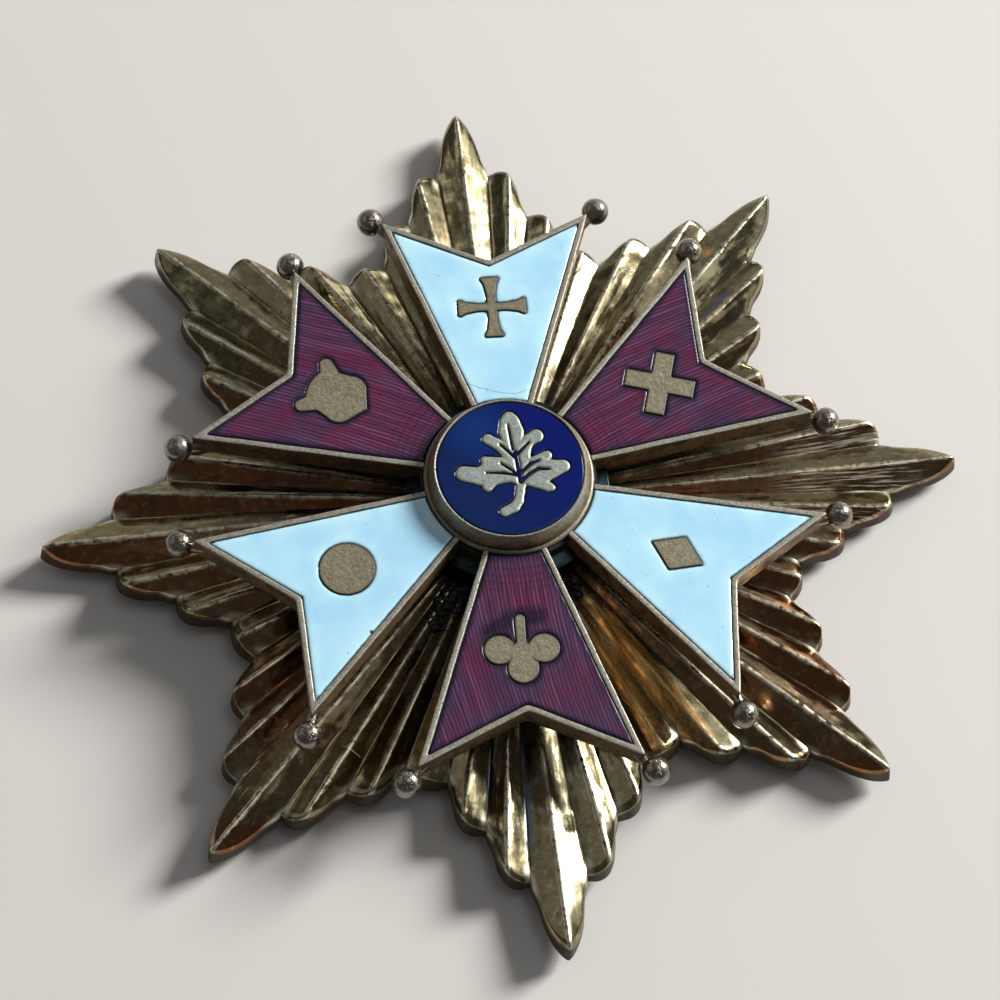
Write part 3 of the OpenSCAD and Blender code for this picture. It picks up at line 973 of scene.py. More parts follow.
@dataclass(frozen=True)
class ScratchedBrass(Finish):
    """Matte brass or pewter of the charges and the leaf, rubbed with fine scratches both ways."""

    name: str = "scratched_brass"
    metal: Colour = (0.19, 0.165, 0.10)
    pale: Colour = (0.46, 0.42, 0.30)
    outline: Colour = (0.02, 0.018, 0.016)
    edging: Colour = (0.19, 0.165, 0.10)
    border: float = 0.17
    shining: float = 0.5

    def paint(self, graph: Graph) -> dict[str, object]:
        """Gives the shader's inputs."""
        at = self.place(graph)
        x, y, z = graph.parts(at)
        upright = graph.noise(graph.vector(x * 5.2 + y * 2.0, y * 1.1 - x * 0.35, z), 1.7, 3, 0.6)
        level = graph.noise(graph.vector(x * 1.3, y * 5.5 + x * 1.5, z + 9), 1.5, 3, 0.6)
        specks = graph.noise(at, 5.5, 4, 0.7)
        rubbed = upright.ramp(0.44, 0.66) * 0.45 + level.ramp(0.48, 0.66) * 0.3 + specks.ramp(0.45, 0.7) * 0.4
        depth = self.mark(graph, "depth")
        edge = 1 - depth.ramp(self.border * 0.3, self.border)
        pits = 1 - specks.ramp(0.30, 0.38)
        colour = self.coated(
            graph,
            self.metal,
            (rubbed.least(1), self.pale),
            ((1 - depth.ramp(0.1, 0.35)) * upright.ramp(0.42, 0.56) * 0.6, self.edging),
            (edge.most(pits * 0.6), self.outline),
        )
        return {
            "Base Color": colour,
            "Metallic": (1 - edge * 0.6) * self.shining,
            "Roughness": specks * 0.2 + 0.36,
            "Normal": self.bump(graph, upright * 0.4 + level * 0.3 + specks * 0.4, 0.03),
        }


@dataclass(frozen=True)
class WhiteEnamel(Finish):
    """Glossy cool white enamel, with a brighter band of painted highlight along its edges and a dark line beside
    the rims.
    """

    name: str = "white_enamel"
    glaze: Colour = linear(187, 235, 254)
    # Painted highlight along the edges
    painted_edge_highlight: Colour = linear(204, 245, 255)
    shade: Colour = linear(176, 226, 251)
    line: Colour = linear(46, 56, 62)
    speck: Colour = linear(96, 128, 150)
    # Hairline crack across the root of the top arm, as places along it
    crack: tuple[Place, ...] = ((-2.6, 8.8), (-0.55, 7.83), (1.5, 7.33), (2.4, 7.6))
    crack_width: float = 0.09
    # Chips in the edge: place, inner and outer distance
    chips: tuple[Row, ...] = ((-12.47, -12.31, 0.132, 0.22),)

    def paint(self, graph: Graph) -> dict[str, object]:
        """Gives the shader's inputs."""
        at = self.place(graph)
        x, y, _ = graph.parts(at)
        depth = self.mark(graph, "depth")
        clouds = graph.noise(at, 0.33, 3, 0.5)
        fleck = graph.noise(at, 1.9, 2, 0.4).ramp(0.70, 0.74) * graph.noise(at, 0.4, 1).ramp(0.45, 0.6)
        shake = (graph.noise(at, 1.2, 2) - 0.5) * 0.25
        crack = self.strokes(x + shake, y + shake, zip(self.crack, self.crack[1:]), self.crack_width)
        marks = (1 - (depth + graph.noise(at, 2.2, 2) * 0.12).ramp(0.06, 0.19)) * 0.85
        colour = self.coated(
            graph,
            self.shade,
            (clouds.ramp(0.38, 0.60), self.glaze),
            # Painted highlight in a band along the edges
            ((1 - depth.ramp(0.3, 1.3)) * clouds.ramp(0.3, 0.6) * 0.7, self.painted_edge_highlight),
            (fleck * 0.35, self.speck),
            (crack * 0.4, self.speck),
            (marks.most(self.spots(x + shake, y, self.chips)), self.line),
        )
        height = clouds * 0.7 + graph.noise(at, 1.1, 2) * 0.3 - crack * 0.4
        return {
            "Base Color": colour,
            "Roughness": 0.16,
            "Coat Weight": 0.4,
            "Coat Roughness": 0.03,
            "Normal": self.bump(graph, height, 0.03),
        }


@dataclass(frozen=True)
class CrimsonEnamel(Finish):
    """Clear crimson enamel over fine cut lines, plum towards its edges, with a navy border and clouds."""

    name: str = "crimson_enamel"
    tint: Colour = linear(86, 46, 72)
    bright: Colour = linear(136, 88, 116)
    dark: Colour = linear(44, 16, 38)
    red: Colour = linear(112, 26, 58)
    plum: Colour = linear(66, 52, 80)
    border: Colour = linear(24, 22, 40)
    # Distance between two lines along the arm, and between two that cross them near the boss
    pitch: float = 0.31
    cross_pitch: float = 0.62
    # Dark cloud beside the lower charge's stem, as places along it
    cloud: tuple[Place, ...] = ((-3.3, -13.2), (-1.9, -12.5), (0.6, -12.3))
    cloud_width: float = 1.1

    def paint(self, graph: Graph) -> dict[str, object]:
        """Gives the shader's inputs."""
        at = self.place(graph)
        x, y, _ = graph.parts(at)
        depth, line, across, out = (self.mark(graph, label) for label in ("depth", "line", "arm_x", "arm_y"))
        drift = graph.noise(graph.vector(line, out * 0.2, 0), 1.5, 1) - 0.5
        wander = (graph.noise(at, 0.22, 2) - 0.5) * 0.4 + drift * 0.2
        lines = ((line + wander) * (360 / self.pitch)).sin() * 0.5 + 0.5
        strong = graph.noise(graph.vector(line * 2.6, out * 0.14, 0), 1.0, 3, 0.6)
        around = ((across * across + out * out).root() * (360 / self.cross_pitch)).sin() * 0.5 + 0.5
        crossing = around.ramp(0.7, 0.95) * (1 - out.ramp(9.6, 10.4)) * strong.ramp(0.3, 0.5)
        clouds = graph.noise(at, 0.30, 3, 0.55)
        shake = (graph.noise(at, 0.9, 3) - 0.5) * 1.4
        cloud = self.strokes(x, y + shake, zip(self.cloud, self.cloud[1:]), self.cloud_width)
        edge = 1 - (depth + graph.noise(at, 1.6, 3) * 0.3).ramp(0.22, 0.62)
        colour = self.coated(
            graph,
            self.tint,
            (clouds.ramp(0.48, 0.66) * 0.32 + (1 - out.ramp(9, 15)) * 0.18, self.red),
            ((1 - depth.ramp(0.3, 2.2)) * clouds.ramp(0.62, 0.42) * 0.85, self.plum),
            (lines.ramp(0.68, 0.98) * strong.ramp(0.44, 0.66) * 0.8, self.bright),
            ((1 - lines.ramp(0.02, 0.30)) * strong.ramp(0.66, 0.38) * 0.9, self.dark),
            (crossing * 0.35, self.dark),
            (cloud * 0.8, self.border),
            (edge * 0.92, self.border),
        )
        return {
            "Base Color": colour,
            "Roughness": 0.24,
            "Specular IOR Level": 0.25,
            "Normal": self.bump(graph, lines * 0.15 + clouds, 0.03),
        }


@dataclass(frozen=True)
class BlueEnamel(Finish):
    """Deep cobalt enamel of the boss, with painted light that makes it brighter towards its upper right."""

    name: str = "blue_enamel"
    deep: Colour = linear(14, 34, 82)
    # Colour of the painted light towards the upper right
    pale: Colour = linear(6, 22, 100)
    glow: Colour = linear(18, 56, 118)
    line: Colour = linear(8, 10, 26)
    # Paler cloud: place, inner and outer distance
    cloud: Row = (-2.2, 3.6, 0.6, 3.4)

    def paint(self, graph: Graph) -> dict[str, object]:
        """Gives the shader's inputs."""
        at = self.place(graph)
        x, y, _ = graph.parts(at)
        clouds = graph.noise(at, 0.5, 4, 0.6)
        edge = 1 - self.mark(graph, "depth").ramp(0.04, 0.16)
        colour = self.coated(
            graph,
            self.deep,
            # Painted light: brighter towards the upper right, the side that the lamp lights
            ((x * 0.9 + y * 0.5).ramp(-3.5, 4) * 0.85 + clouds.ramp(0.45, 0.65) * 0.15, self.pale),
            (self.spots(x, y, [self.cloud]) * 0.6, self.glow),
            (edge * 0.8, self.line),
        )
        return {
            "Base Color": colour,
            "Roughness": 0.14,
            "Specular IOR Level": 0.25,
            "Normal": self.bump(graph, clouds, 0.02),
        }


@dataclass(frozen=True)
class PlainMetal(Finish):
    """Metal of the hidden parts: the pin, the disc and the solder."""

    name: str
    metal: Colour
    stain: Colour
    rough: float = 0.3
    shine: float = 1.0

    def paint(self, graph: Graph) -> dict[str, object]:
        """Gives the shader's inputs."""
        at = self.place(graph)
        blotches = graph.noise(at, 0.8, 4, 0.6)
        grain = graph.noise(at, 8, 3, 0.6)
        return {
            "Base Color": self.coated(graph, self.metal, (blotches.ramp(0.42, 0.64), self.stain)),
            "Metallic": self.shine,
            "Roughness": grain * 0.2 + self.rough - 0.1,
            "Normal": self.bump(graph, grain * 0.4 + blotches, 0.03),
        }


@dataclass
class StarPlate:
    """The pressed star: eight main rays with smaller ones between, a turned-down rim and a hollow back."""

    tip: float = 38
    # By how much a groove deepens with each millimetre outwards, and how far the foot of the wall stands out
    groove_rate: float = 0.034
    flare: float = 0.35
    sheet: float = 0.6
    # Radius of the bore for the stud, and of the flat pad behind the middle
    bore: float = 2.06
    pad: float = 17
    # Radius of the flat place in the middle, and radius where the flutes are full
    centre: Place = (3.5, 4.2)
    # Width and drop of the rounded shoulder at the edge
    shoulder: Place = (0.75, 0.4)
    # Width of the rim's foot, and how softly ridges and grooves are rounded
    foot: float = 0.9
    ridge_round: float = 0.16
    groove_round: float = 0.12
    # Share of a ray's width that is a web beside its neighbour, and how fast the web narrows
    web: Place = (0.2, 50)
    # How much of a ray's narrowing past its notch makes its faces steeper, and the least width counted
    steepen: float = 0.4
    least_width: float = 0.2
    # Depth of the dents in the flutes
    dent: float = 0.07
    # By how many degrees the flutes wander sideways, and how far the wall behind the rim leans inwards
    sway: float = 0.1
    slant: float = 0.1
    # For each ray of half a sector: bearing of its end and notch, radius of its end and notch, sharpness
    rays: tuple[Row, ...] = (
        (0, 4, 38, 32.2, 1.35),
        (5.2, 10.7, 32.3, 28.1, 1),
        (12.2, 18.4, 28.1, 24.6, 1),
        (22.5, 18.4, 25, 24.6, 1),
    )
    # How many degrees each main ray leans to the right of its even place
    leans: Row = (0.7, -0.2, 0.2, -0.6, 0.2, -0.7, -0.1, 0.2)
    # Columns from a ray's end to its notch
    steps: int = 24
    # Columns between a notch and the start of the next ray
    lead: int = 3
    # Rows of points from the bore over the face, the shoulder, the wall, the foot and the back to the bore
    rows: tuple[int, ...] = (1, 1, 30, 6, 5, 1, 1, 4, 1, 1, 1)

    def ridges(self) -> list[float]:
        """Bearing of each ray's ridge."""
        turn = math.sin(22.5 * DEG)
        middle = [ray[0] + (ray[1] - ray[0]) * turn for ray in self.rays[1:3]]
        return [0, *middle, self.rays[3][0]]

    def grow(self, finish: Material) -> Piece:
        """Builds the star with its node tree."""
        sizes = {
            "Ridge height": LEVELS.ridge,
            "Rim height": LEVELS.rim,
            "Groove rate": self.groove_rate,
            "Rim flare": self.flare,
            "Sheet": self.sheet,
            "Foot": self.foot,
            "Pad radius": self.pad,
            "Bore radius": self.bore,
            "Ridge rounding": self.ridge_round,
            "Groove rounding": self.groove_round,
            "Dent depth": self.dent,
        }
        graph = ShapeGraph("star_shape", sizes)
        columns = len(self.leans) * 2 * len(self.rays) * (self.steps + 1 + self.lead)
        rows = sum(self.rows) + 1
        grid = graph.node(
            "GeometryNodeMeshGrid",
            inputs={"Size X": columns - 1.0, "Size Y": rows - 1.0, "Vertices X": columns, "Vertices Y": rows},
        )
        x, y, _ = graph.parts(graph.out(graph.node("GeometryNodeInputPosition")))
        column = (x + columns / 2).floor()
        row = (y + rows / 2).floor()
        place, marks = self._across(graph, row, *self._around(graph, column))
        geometry = graph.out(grid)
        for label, value in marks.items():
            geometry = graph.keep(geometry, label, value)
        moved = graph.node("GeometryNodeSetPosition", inputs={"Geometry": geometry, "Position": place})
        inputs = {0: graph.out(moved), "Distance": 0.002 * MM}
        merged = graph.node("GeometryNodeMergeByDistance", inputs=inputs)
        graph.finish(graph.out(merged), finish)
        star = graph.grow("star_rays", bpy.data.meshes.new("seed"))
        turn_outwards(star.data)
        shade(star.data, CRISP_GROWN)
        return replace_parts(star, "star_plate")

    def _around(self, graph: ShapeGraph, column: Num) -> tuple[Num, Num, Num, Num, Num]:
        """Bearing, the same folded into half a sector, edge's radius, ray's number and half's sense."""
        ray_columns = self.steps + 1 + self.lead
        half_columns = ray_columns * len(self.rays)
        half = ((column + 0.5) / half_columns).floor()
        odd = half % 2
        within = column - half * half_columns
        within = within.toward(half_columns - 1 - within, odd)
        ray = ((within + 0.5) / ray_columns).floor()
        step = within - ray * ray_columns
        turn = (step - self.lead).most(0) * (90 / self.steps)
        last = ray > len(self.rays) - 1.5
        turn = turn.toward(90 - turn, last)
        start, notch, end_r, notch_r, sharpness = self.ray_values(graph, ray)
        before, before_r = (
            graph.pick(ray, [first, *(values[part] for values in self.rays[:-1])])
            for first, part in ((0, 1), (self.tip, 3))
        )
        led = (step / self.lead).least(1) ** 2
        folded = before.toward(start + (notch - start) * self.width(turn.sin().most(0), sharpness), led)
        edge = before_r.toward(notch_r + (end_r - notch_r) * turn.cos(), led)
        sector = 360 / len(self.leans)
        bearing = ((half + 1) / 2).floor() * sector + folded * (1 - odd * 2)
        lean: Num | float = self.leans[0]
        rise_before = 0.0
        for number, value in enumerate(self.leans):
            rise = (self.leans[(number + 1) % len(self.leans)] - value) / sector
            lean = (bearing - number * sector).most(0) * (rise - rise_before) + lean
            rise_before = rise
        return bearing + lean, folded, edge, ray, 1 - odd * 2

    def ray_values(self, graph: Graph, ray: Num) -> tuple[Num, ...]:
        """A ray's bearings, radii and sharpness, by its number."""
        return tuple(graph.pick(ray, column) for column in zip(*self.rays))

    def width(self, sine: Num, sharpness: Num) -> Num:
        """Share of a ray's width, from 0 at its end to 1 at its notch, with the web beside the notch."""
        share, hurry = self.web
        return sine ** sharpness * (1 - share) + sine ** hurry * share

    def _across(
        self, graph: ShapeGraph, row: Num, bearing: Num, folded: Num, edge: Num, ray: Num, sense: Num
    ) -> tuple[Socket, dict[str, Num]]:
        """Place of a point by its row, and the numbers that the finish reads."""
        starts = [sum(self.rows[:number]) for number in range(len(self.rows))]
        flat, slope, face, shoulder, wall, foot, rise, back, pad, under, close = (
            row.ramp(start, start + count) for start, count in zip(starts, self.rows)
        )
        rim_z, flare, sheet = (graph.size(label) for label in ("Rim height", "Rim flare", "Sheet"))
        foot_w, bore_r, pad_r = (graph.size(label) for label in ("Foot", "Bore radius", "Pad radius"))
        flute = Flute(self, graph, folded, ray)
        (depth, drop), (flat_r, slope_r) = self.shoulder, self.centre
        first_notch, first_notch_r = self.rays[0][1], self.rays[0][3]
        narrow = (folded > first_notch - self.foot / first_notch_r / DEG) * (ray < 0.5)
        hollow = (edge - foot_w).toward(first_notch_r - self.foot, narrow)
        wall_h = flute.height(edge) - rim_z
        out = flare * wall_h / (LEVELS.ridge - LEVELS.rim)
        reach = (
            bore_r + flat * (flat_r - bore_r) + slope * (slope_r - flat_r) + face * (edge - depth - slope_r)
            + (shoulder * 90).sin() * depth + wall * out - foot * (edge + out - hollow) - rise * self.slant
            - back * (hollow - self.slant - pad_r) - under * (pad_r - bore_r)
        )
        front = flute.height(reach) - (1 - (shoulder * 90).cos()) * drop
        centre_z = LEVELS.ridge - slope_r * self.groove_rate
        pad_z = LEVELS.ridge - self.pad * self.groove_rate - self.sheet
        height = front.toward(centre_z, 1 - slope).toward(rim_z, wall)
        height = height.toward(flute.height(reach) - sheet, rise).toward(pad_z, pad).toward(centre_z, close)
        dents = graph.noise(graph.vector(reach * bearing.sin(), reach * bearing.cos(), 0), 0.45, 2) - 0.5
        height = height - (dents * 2).most(0) * graph.size("Dent depth") * (1 - foot) * slope
        waves = graph.noise(graph.vector(reach * 0.12, folded, ray * 9 + bearing * 0.1), 0.8, 2) - 0.5
        turned = bearing + waves * self.sway * face
        place = graph.vector(reach * turned.sin() * MM, reach * turned.cos() * MM, height * MM)
        return place, {
            "crest": flute.from_ridge(reach),
            "valley": flute.from_groove(reach),
            "wall": shoulder * 0.35 + wall * 0.65,
            "flank": ((folded > flute.ridge) * 2 - 1) * sense,
            "ending": edge - reach,
        }


class Flute:
    """The flute that a point of the star lies on: its ridge, its groove and the height of its face."""

    def __init__(self, star: StarPlate, graph: ShapeGraph, folded: Num, ray: Num) -> None:
        """Finds the flute by its ray and by the bearing folded into half a sector."""
        self.star = star
        self.folded = folded
        self.start, self.notch, self.end_r, self.notch_r, self.sharpness = star.ray_values(graph, ray)
        self.ridge = graph.pick(ray, star.ridges())
        before = graph.pick(ray, [0, *(values[1] for values in star.rays[:-1])])
        past_ridge = folded > self.ridge - 0.001
        self.groove = before.toward(self.notch, past_ridge)
        self.narrows = past_ridge * (ray < len(star.rays) - 1.5)
        self.top, self.rate = graph.size("Ridge height"), graph.size("Groove rate")
        self.rounding, self.fillet = graph.size("Ridge rounding"), graph.size("Groove rounding")

    def from_ridge(self, reach: Num) -> Num:
        """Distance from the ridge's line at a distance from the centre."""
        return abs((self.folded - self.ridge).sin()) * reach

    def from_groove(self, reach: Num) -> Num:
        """Distance from the groove's line at a distance from the centre."""
        return abs((self.groove - self.folded).sin()) * reach

    def _rounded(self, off: Num) -> Num:
        """Distance from the ridge as the rounded ridge counts it."""
        return (off * off + self.rounding * self.rounding).root() - self.rounding

    def height(self, reach: Num) -> Num:
        """Height of the face at a distance from the centre."""
        star = self.star
        past = ((reach - self.notch_r) / (self.end_r - self.notch_r)).most(0).least(0.98)
        share = star.width((1 - past * past).root(), self.sharpness)
        width = self.start + (self.notch - self.start) * share - self.ridge
        steeper = (width / (self.notch - self.ridge)).most(star.least_width) ** star.steepen
        half = abs((self.groove - self.ridge).sin()) * steeper.toward(1, 1 - self.narrows) * reach
        fall = self._rounded(self.from_ridge(reach)) / self._rounded(half) * self.rate * reach
        off = self.from_groove(reach)
        slope = star.groove_rate / math.sin(star.rays[0][1] * DEG)
        return self.top - fall + ((off * off + self.fillet * self.fillet).root() - off) * slope


def lathe(form: Form, profile: Sequence[Place], sides: int, sway: float = 0, **marks: Row) -> None:
    """Adds a solid of revolution about the Z axis.

    Args:
        form: Form that takes the points and faces.
        profile: Radius and height along the outline, from the axis back to the axis.
        sides: Number of steps round.
        sway: How far worn metal strays from the round, in millimetres.
        **marks: Numbers on the profile's points, by name.
    """
    turns = np.linspace(0, 2 * math.pi, sides, endpoint=False)
    ring = np.column_stack([np.cos(turns), np.sin(turns)])
    stray = sway * ripple(ring * 6, 2.2, 5)
    inner = profile[1:-1]
    points = [(0.0, 0.0, profile[0][1]), (0.0, 0.0, profile[-1][1])]
    for radius, height in inner:
        points += [(x * (radius + s), y * (radius + s), height + 0.4 * s) for (x, y), s in zip(ring, stray)]
    faces: list[tuple[int, ...]] = []
    last = 2 + (len(inner) - 1) * sides
    for i in range(sides):
        j = (i + 1) % sides
        faces += [(0, 2 + i, 2 + j), (1, last + j, last + i)]
        for row in range(len(inner) - 1):
            a, b = 2 + row * sides, 2 + (row + 1) * sides
            faces.append((a + i, b + i, b + j, a + j))
    spread = {name: [row[0], row[-1], *np.repeat(row[1:-1], sides)] for name, row in marks.items()}
    form.add(np.array(points), faces, **spread)


def turned(points: Sequence[Place], degrees: float) -> list[Place]:
    """Turns flat points about their origin, anticlockwise."""
    c, s = math.cos(degrees * DEG), math.sin(degrees * DEG)
    return [(x * c - y * s, x * s + y * c) for x, y in points]


def arc(centre: Place, radius: float, start: float, end: float, steps: int) -> list[Place]:
    """Points along an arc, with angles in degrees from +X."""
    return [
        (centre[0] + radius * math.cos(a * DEG), centre[1] + radius * math.sin(a * DEG))
        for a in np.linspace(start, end, steps + 1)
    ]


def cross_patty() -> Outline:
    """Cross with arms that widen outwards."""
    soft = 0.2
    right = [(0.2, -0.2), (0.2, 1.2), (0.38, 2.25), (0.62, 2.68)]
    arm = right + [(-x, y) for x, y in right[::-1]]
    shape = joined([polygon(turned(arm, turn)) for turn in (0, 90, 180, 270)], 0.06)
    return lambda at: shape(at) - soft


def cross_plain() -> Outline:
    """Plain cross with square ends, turned by an eighth."""
    bar = [(-2.9, -0.82), (2.9, -0.82), (2.9, 0.82), (-2.9, 0.82)]
    return joined([polygon(turned(bar, turn)) for turn in (45, 135)], 0.05)


def lozenge() -> Outline:
    """Upright lozenge."""
    return polygon([(1.65, 0), (0, 2.3), (-1.65, 0), (0, -2.3)])


def trefoil() -> Outline:
    """Three round lobes on a short stem."""
    lobes = [disc(at, 1.25) for at in ((-1.75, -0.35), (1.75, -0.35), (0, 1.3))]
    return joined([*lobes, disc((0, 0), 1), rod((0, -0.4), 0.4, (0, -2.9), 0.42)], 0.05)


def roundel() -> Outline:
    """Plain disc."""
    return disc((0, 0), 2.25)


def eared_shield() -> Outline:
    """Shield with an ear at each shoulder and a domed top."""
    right = [
        *arc((0, -0.6), 3.1, 90, 66, 6), *arc((2.1, 2.1), 0.62, 100, -45, 8), (2, 0.8), (2.05, 0.4),
        *arc((1, -0.75), 1.3, 25, -70, 8), (0, -2.8),
    ]
    left = [(-x, y) for x, y in right[-2:0:-1]]
    return polygon(right + left)


@dataclass(frozen=True)
class ArmPlan:
    """What is different from arm to arm."""

    enamel: str
    white: bool
    lean: float
    deeper: float
    charge_at: Place
    charge: Callable[[], Outline]
    # How the cut lines under clear enamel drift sideways: per millimetre outwards, and per square of it
    cut: Place = (0, 0)


@dataclass
class Cross:
    """The six-armed cross: rims round cells of enamel, charges in them and balls on the corners."""

    # Bearing of the first arm, and lean of an arm's sides from its middle line, in degrees
    turn: float = 3.4
    side: float = 19.4
    # Outer corner of an arm along +Y, and how far out the notch between its corners lies
    corner: Place = (8.85, 24.4)
    notch: float = 20.2
    rim: float = 0.5
    # Radius of the hub under the boss, radius from which enamel fills a cell, and where a straight root lies
    hub: float = 6.95
    filling: float = 7.02
    root: float = 5
    ball: float = 1.15
    # From the corner outwards to the ball's middle, and inwards to the neck's foot
    ball_out: Place = (0.79, 0.8)
    neck_in: Place = (0.75, 0.8)
    neck: float = 0.42
    gap: float = 0.03
    # Distance between two points along a rim, and how far a worn rim strays from its line
    spacing: float = 0.22
    wander: float = 0.035
    # Half the side of the field that a charge is cut from, and the steps of the grids for charges and enamel
    charge_reach: float = 3.4
    charge_step: float = 0.11
    cell_step: float = 0.26
    arms: tuple[ArmPlan, ...] = (
        ArmPlan("enamel_white_top", True, -0.8, 0, (-0.1, 15.7), cross_patty),
        ArmPlan("enamel_crimson_right", False, -0.2, 0.5, (-0.25, 15.2), cross_plain, (0, -0.006)),
        ArmPlan("enamel_white_right", True, 0, 0, (0, 14.95), lozenge),
        ArmPlan("enamel_crimson_bottom", False, 0, 0, (0.1, 15.4), trefoil, (0.05, 0.008)),
        ArmPlan("enamel_white_left", True, 0.2, 0, (0.15, 15.4), roundel),
        ArmPlan("enamel_crimson_left", False, 0.2, -0.1, (0.05, 15.75), eared_shield, (0.08, 0.0055)),
    )

    @property
    def height(self) -> float:
        """Height of an arm from its underside to the top of its rim."""
        return LEVELS.cross_top - LEVELS.cross

    @property
    def floor(self) -> float:
        """Height of the cells' floor."""
        return LEVELS.enamel[0] - self.gap

    def rim_profile(self) -> list[Row]:
        """Inset, height, share of wall and share of depth, painted as shade, along a rim, from below to the
        cell's floor.
        """
        h = self.height
        return [
            (0.08, 0, 1, 0), (0, 0.1, 1, 0), (0, 0.7, 1, 0), (0, h - 0.3, 1, 0), (0, h - 0.1, 1, 0),
            (0.02, h - 0.04, 0.6, 0), (0.06, h - 0.01, 0, 0), (0.14, h, 0, 0), (0.36, h, 0, 0),
            (0.43, h - 0.015, 0, 0), (0.47, h - 0.05, 0, 0.9), (0.5, h - 0.12, 0, 1),
            (0.5, self.floor - LEVELS.cross, 0, 1),
        ]

    def place(self, number: int) -> Callable[[Points], Points]:
        """Function that turns flat points of an arm along +Y to where the arm lies."""
        bearing = (self.turn + number * 360 / len(self.arms) + self.arms[number].lean) * DEG
        c, s = math.cos(bearing), math.sin(bearing)
        return lambda at: np.column_stack([at[:, 0] * c + at[:, 1] * s, at[:, 1] * c - at[:, 0] * s])

    def corners(self, number: int, inset: float, root: float | None = None) -> list[np.ndarray]:
        """Corners of an arm's outline moved inwards, from the right root round to the left one.

        Args:
            number: Which arm.
            inset: How far the edges move in.
            root: Height of a straight root, or None for one on the hub's circle.

        Returns:
            Right root, right corner, notch, left corner and left root.
        """
        notch = np.array([0, self.notch - self.arms[number].deeper])
        corner = np.array(self.corner)
        side = np.array([math.sin(self.side * DEG), math.cos(self.side * DEG)])
        end = (corner - notch) / np.linalg.norm(corner - notch)
        side_at = corner + inset * np.array([-side[1], side[0]])
        end_at = notch + inset * np.array([end[1], -end[0]])
        share = np.linalg.solve(np.column_stack([side, -end]), end_at - side_at)[0]
        outer = side_at + share * side
        inner = end_at - end * end_at[0] / end[0]
        if root is None:
            b = side_at @ side
            start = side_at + side * (-b + math.sqrt(b * b - side_at @ side_at + self.hub**2))
        else:
            start = side_at + side * (root - side_at[1]) / side[1]
        mirror = np.array([-1, 1])
        return [start, outer, inner, outer * mirror, start * mirror]

    def outline(self, number: int, inset: float) -> Outline:
        """Outline of an arm with its edges moved inwards."""
        return polygon(self.corners(number, inset, self.root))

    def charge(self, number: int) -> Outline:
        """Outline of an arm's charge, where it lies on the arm."""
        plan = self.arms[number]
        shape = plan.charge()
        return lambda at: shape(at - np.array(plan.charge_at))

    def _rim_path(self, number: int, inset: float, counts: Sequence[int]) -> Points:
        """Even steps along the corners, with the corners slightly rounded."""
        keys = self.corners(number, inset)
        path = [
            start + (end - start) * step / count
            for start, end, count in zip(keys, keys[1:], counts)
            for step in range(count)
        ]
        path = np.array([*path, keys[-1]])
        for _ in range(2):
            path[1:-1] = path[1:-1] * 0.5 + (path[:-2] + path[2:]) * 0.25
        return path

    def add_rim(self, form: Form, number: int) -> None:
        """Adds an arm's body: its walls, its rim, the floor of its cell and its underside."""
        keys = self.corners(number, 0)
        counts = [round(np.linalg.norm(b - a) / self.spacing) for a, b in zip(keys, keys[1:])]
        base = self._rim_path(number, 0, counts)
        along = np.gradient(base, axis=0)
        inward = np.column_stack([-along[:, 1], along[:, 0]]) / np.linalg.norm(along, axis=1)[:, None]
        wave = ripple(base, 2.6, 11 + number) * self.wander
        fine = ripple(base, 0.8, 31 + number) * self.wander * 0.5
        lift = ripple(base, 3.4, 51 + number) * self.wander * 0.7
        place = self.place(number)
        profile = self.rim_profile()
        points, wall, sunk = [], [], []
        for inset, height, wall_share, sunk_share in profile:
            path = self._rim_path(number, inset, counts)
            strength = np.clip(height / self.height, 0, 1)
            inner_edge = (inset / self.rim - 0.5) * fine * 2
            path = path + inward * ((wave + inner_edge) * strength)[:, None]
            rise = np.full(len(path), LEVELS.cross + height) - np.abs(lift) * strength
            points.append(np.column_stack([place(path), rise]))
            wall += [wall_share] * len(path)
            sunk += [sunk_share] * len(path)
        count = len(base)
        faces = [
            (row * count + i, row * count + i + 1, (row + 1) * count + i + 1, (row + 1) * count + i)
            for row in range(len(profile) - 1)
            for i in range(count - 1)
        ]
        last = (len(profile) - 1) * count
        faces.append(tuple(range(count)))
        faces.append(tuple(last + i for i in range(count - 1, -1, -1)))
        rows = range(len(profile))
        ends = [row * count for row in rows] + [row * count + count - 1 for row in reversed(rows)]
        faces.append(tuple(ends))
        form.add(np.vstack(points), faces, wall=wall, sunk=sunk)

    def build(self, metal: Material, knobs: Material, charges: Material) -> list[Piece]:
        """Builds the metal of the cross: the frame, its balls and the charges."""
        form, relief = Form(), Form()
        for number in range(len(self.arms)):
            self.add_rim(form, number)
        hub_r, hub_low, hub_top = self.hub + 0.2, LEVELS.cross + 0.05, self.floor - 0.02
        hub = [(0, hub_top), (hub_r, hub_top), (hub_r, hub_low), (0, hub_low)]
        # The hub counts as fully sunk: painted shade between the star and the arms
        lathe(form, hub, 120, sunk=(1.0,) * len(hub), wall=(0.0,) * len(hub))
        body = form.piece("cross_rims", metal)
        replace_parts(body, "cross_frame")
        balls = self._balls(knobs)
        top = eased(LEVELS.cross_top - 0.01, 0.05, 0.09, 0.008, 0.6, 3)
        span = np.full(2, self.charge_reach)
        for number, plan in enumerate(self.arms):
            low, high = plan.charge_at - span, plan.charge_at + span
            cut = Relief(self.charge(number), low, high, self.charge_step, (0.05, 0.12))
            cut.raise_on(relief, self.floor - 0.02, top, self.place(number))
        marks = relief.piece("charges", charges)
        return [body, balls, marks]

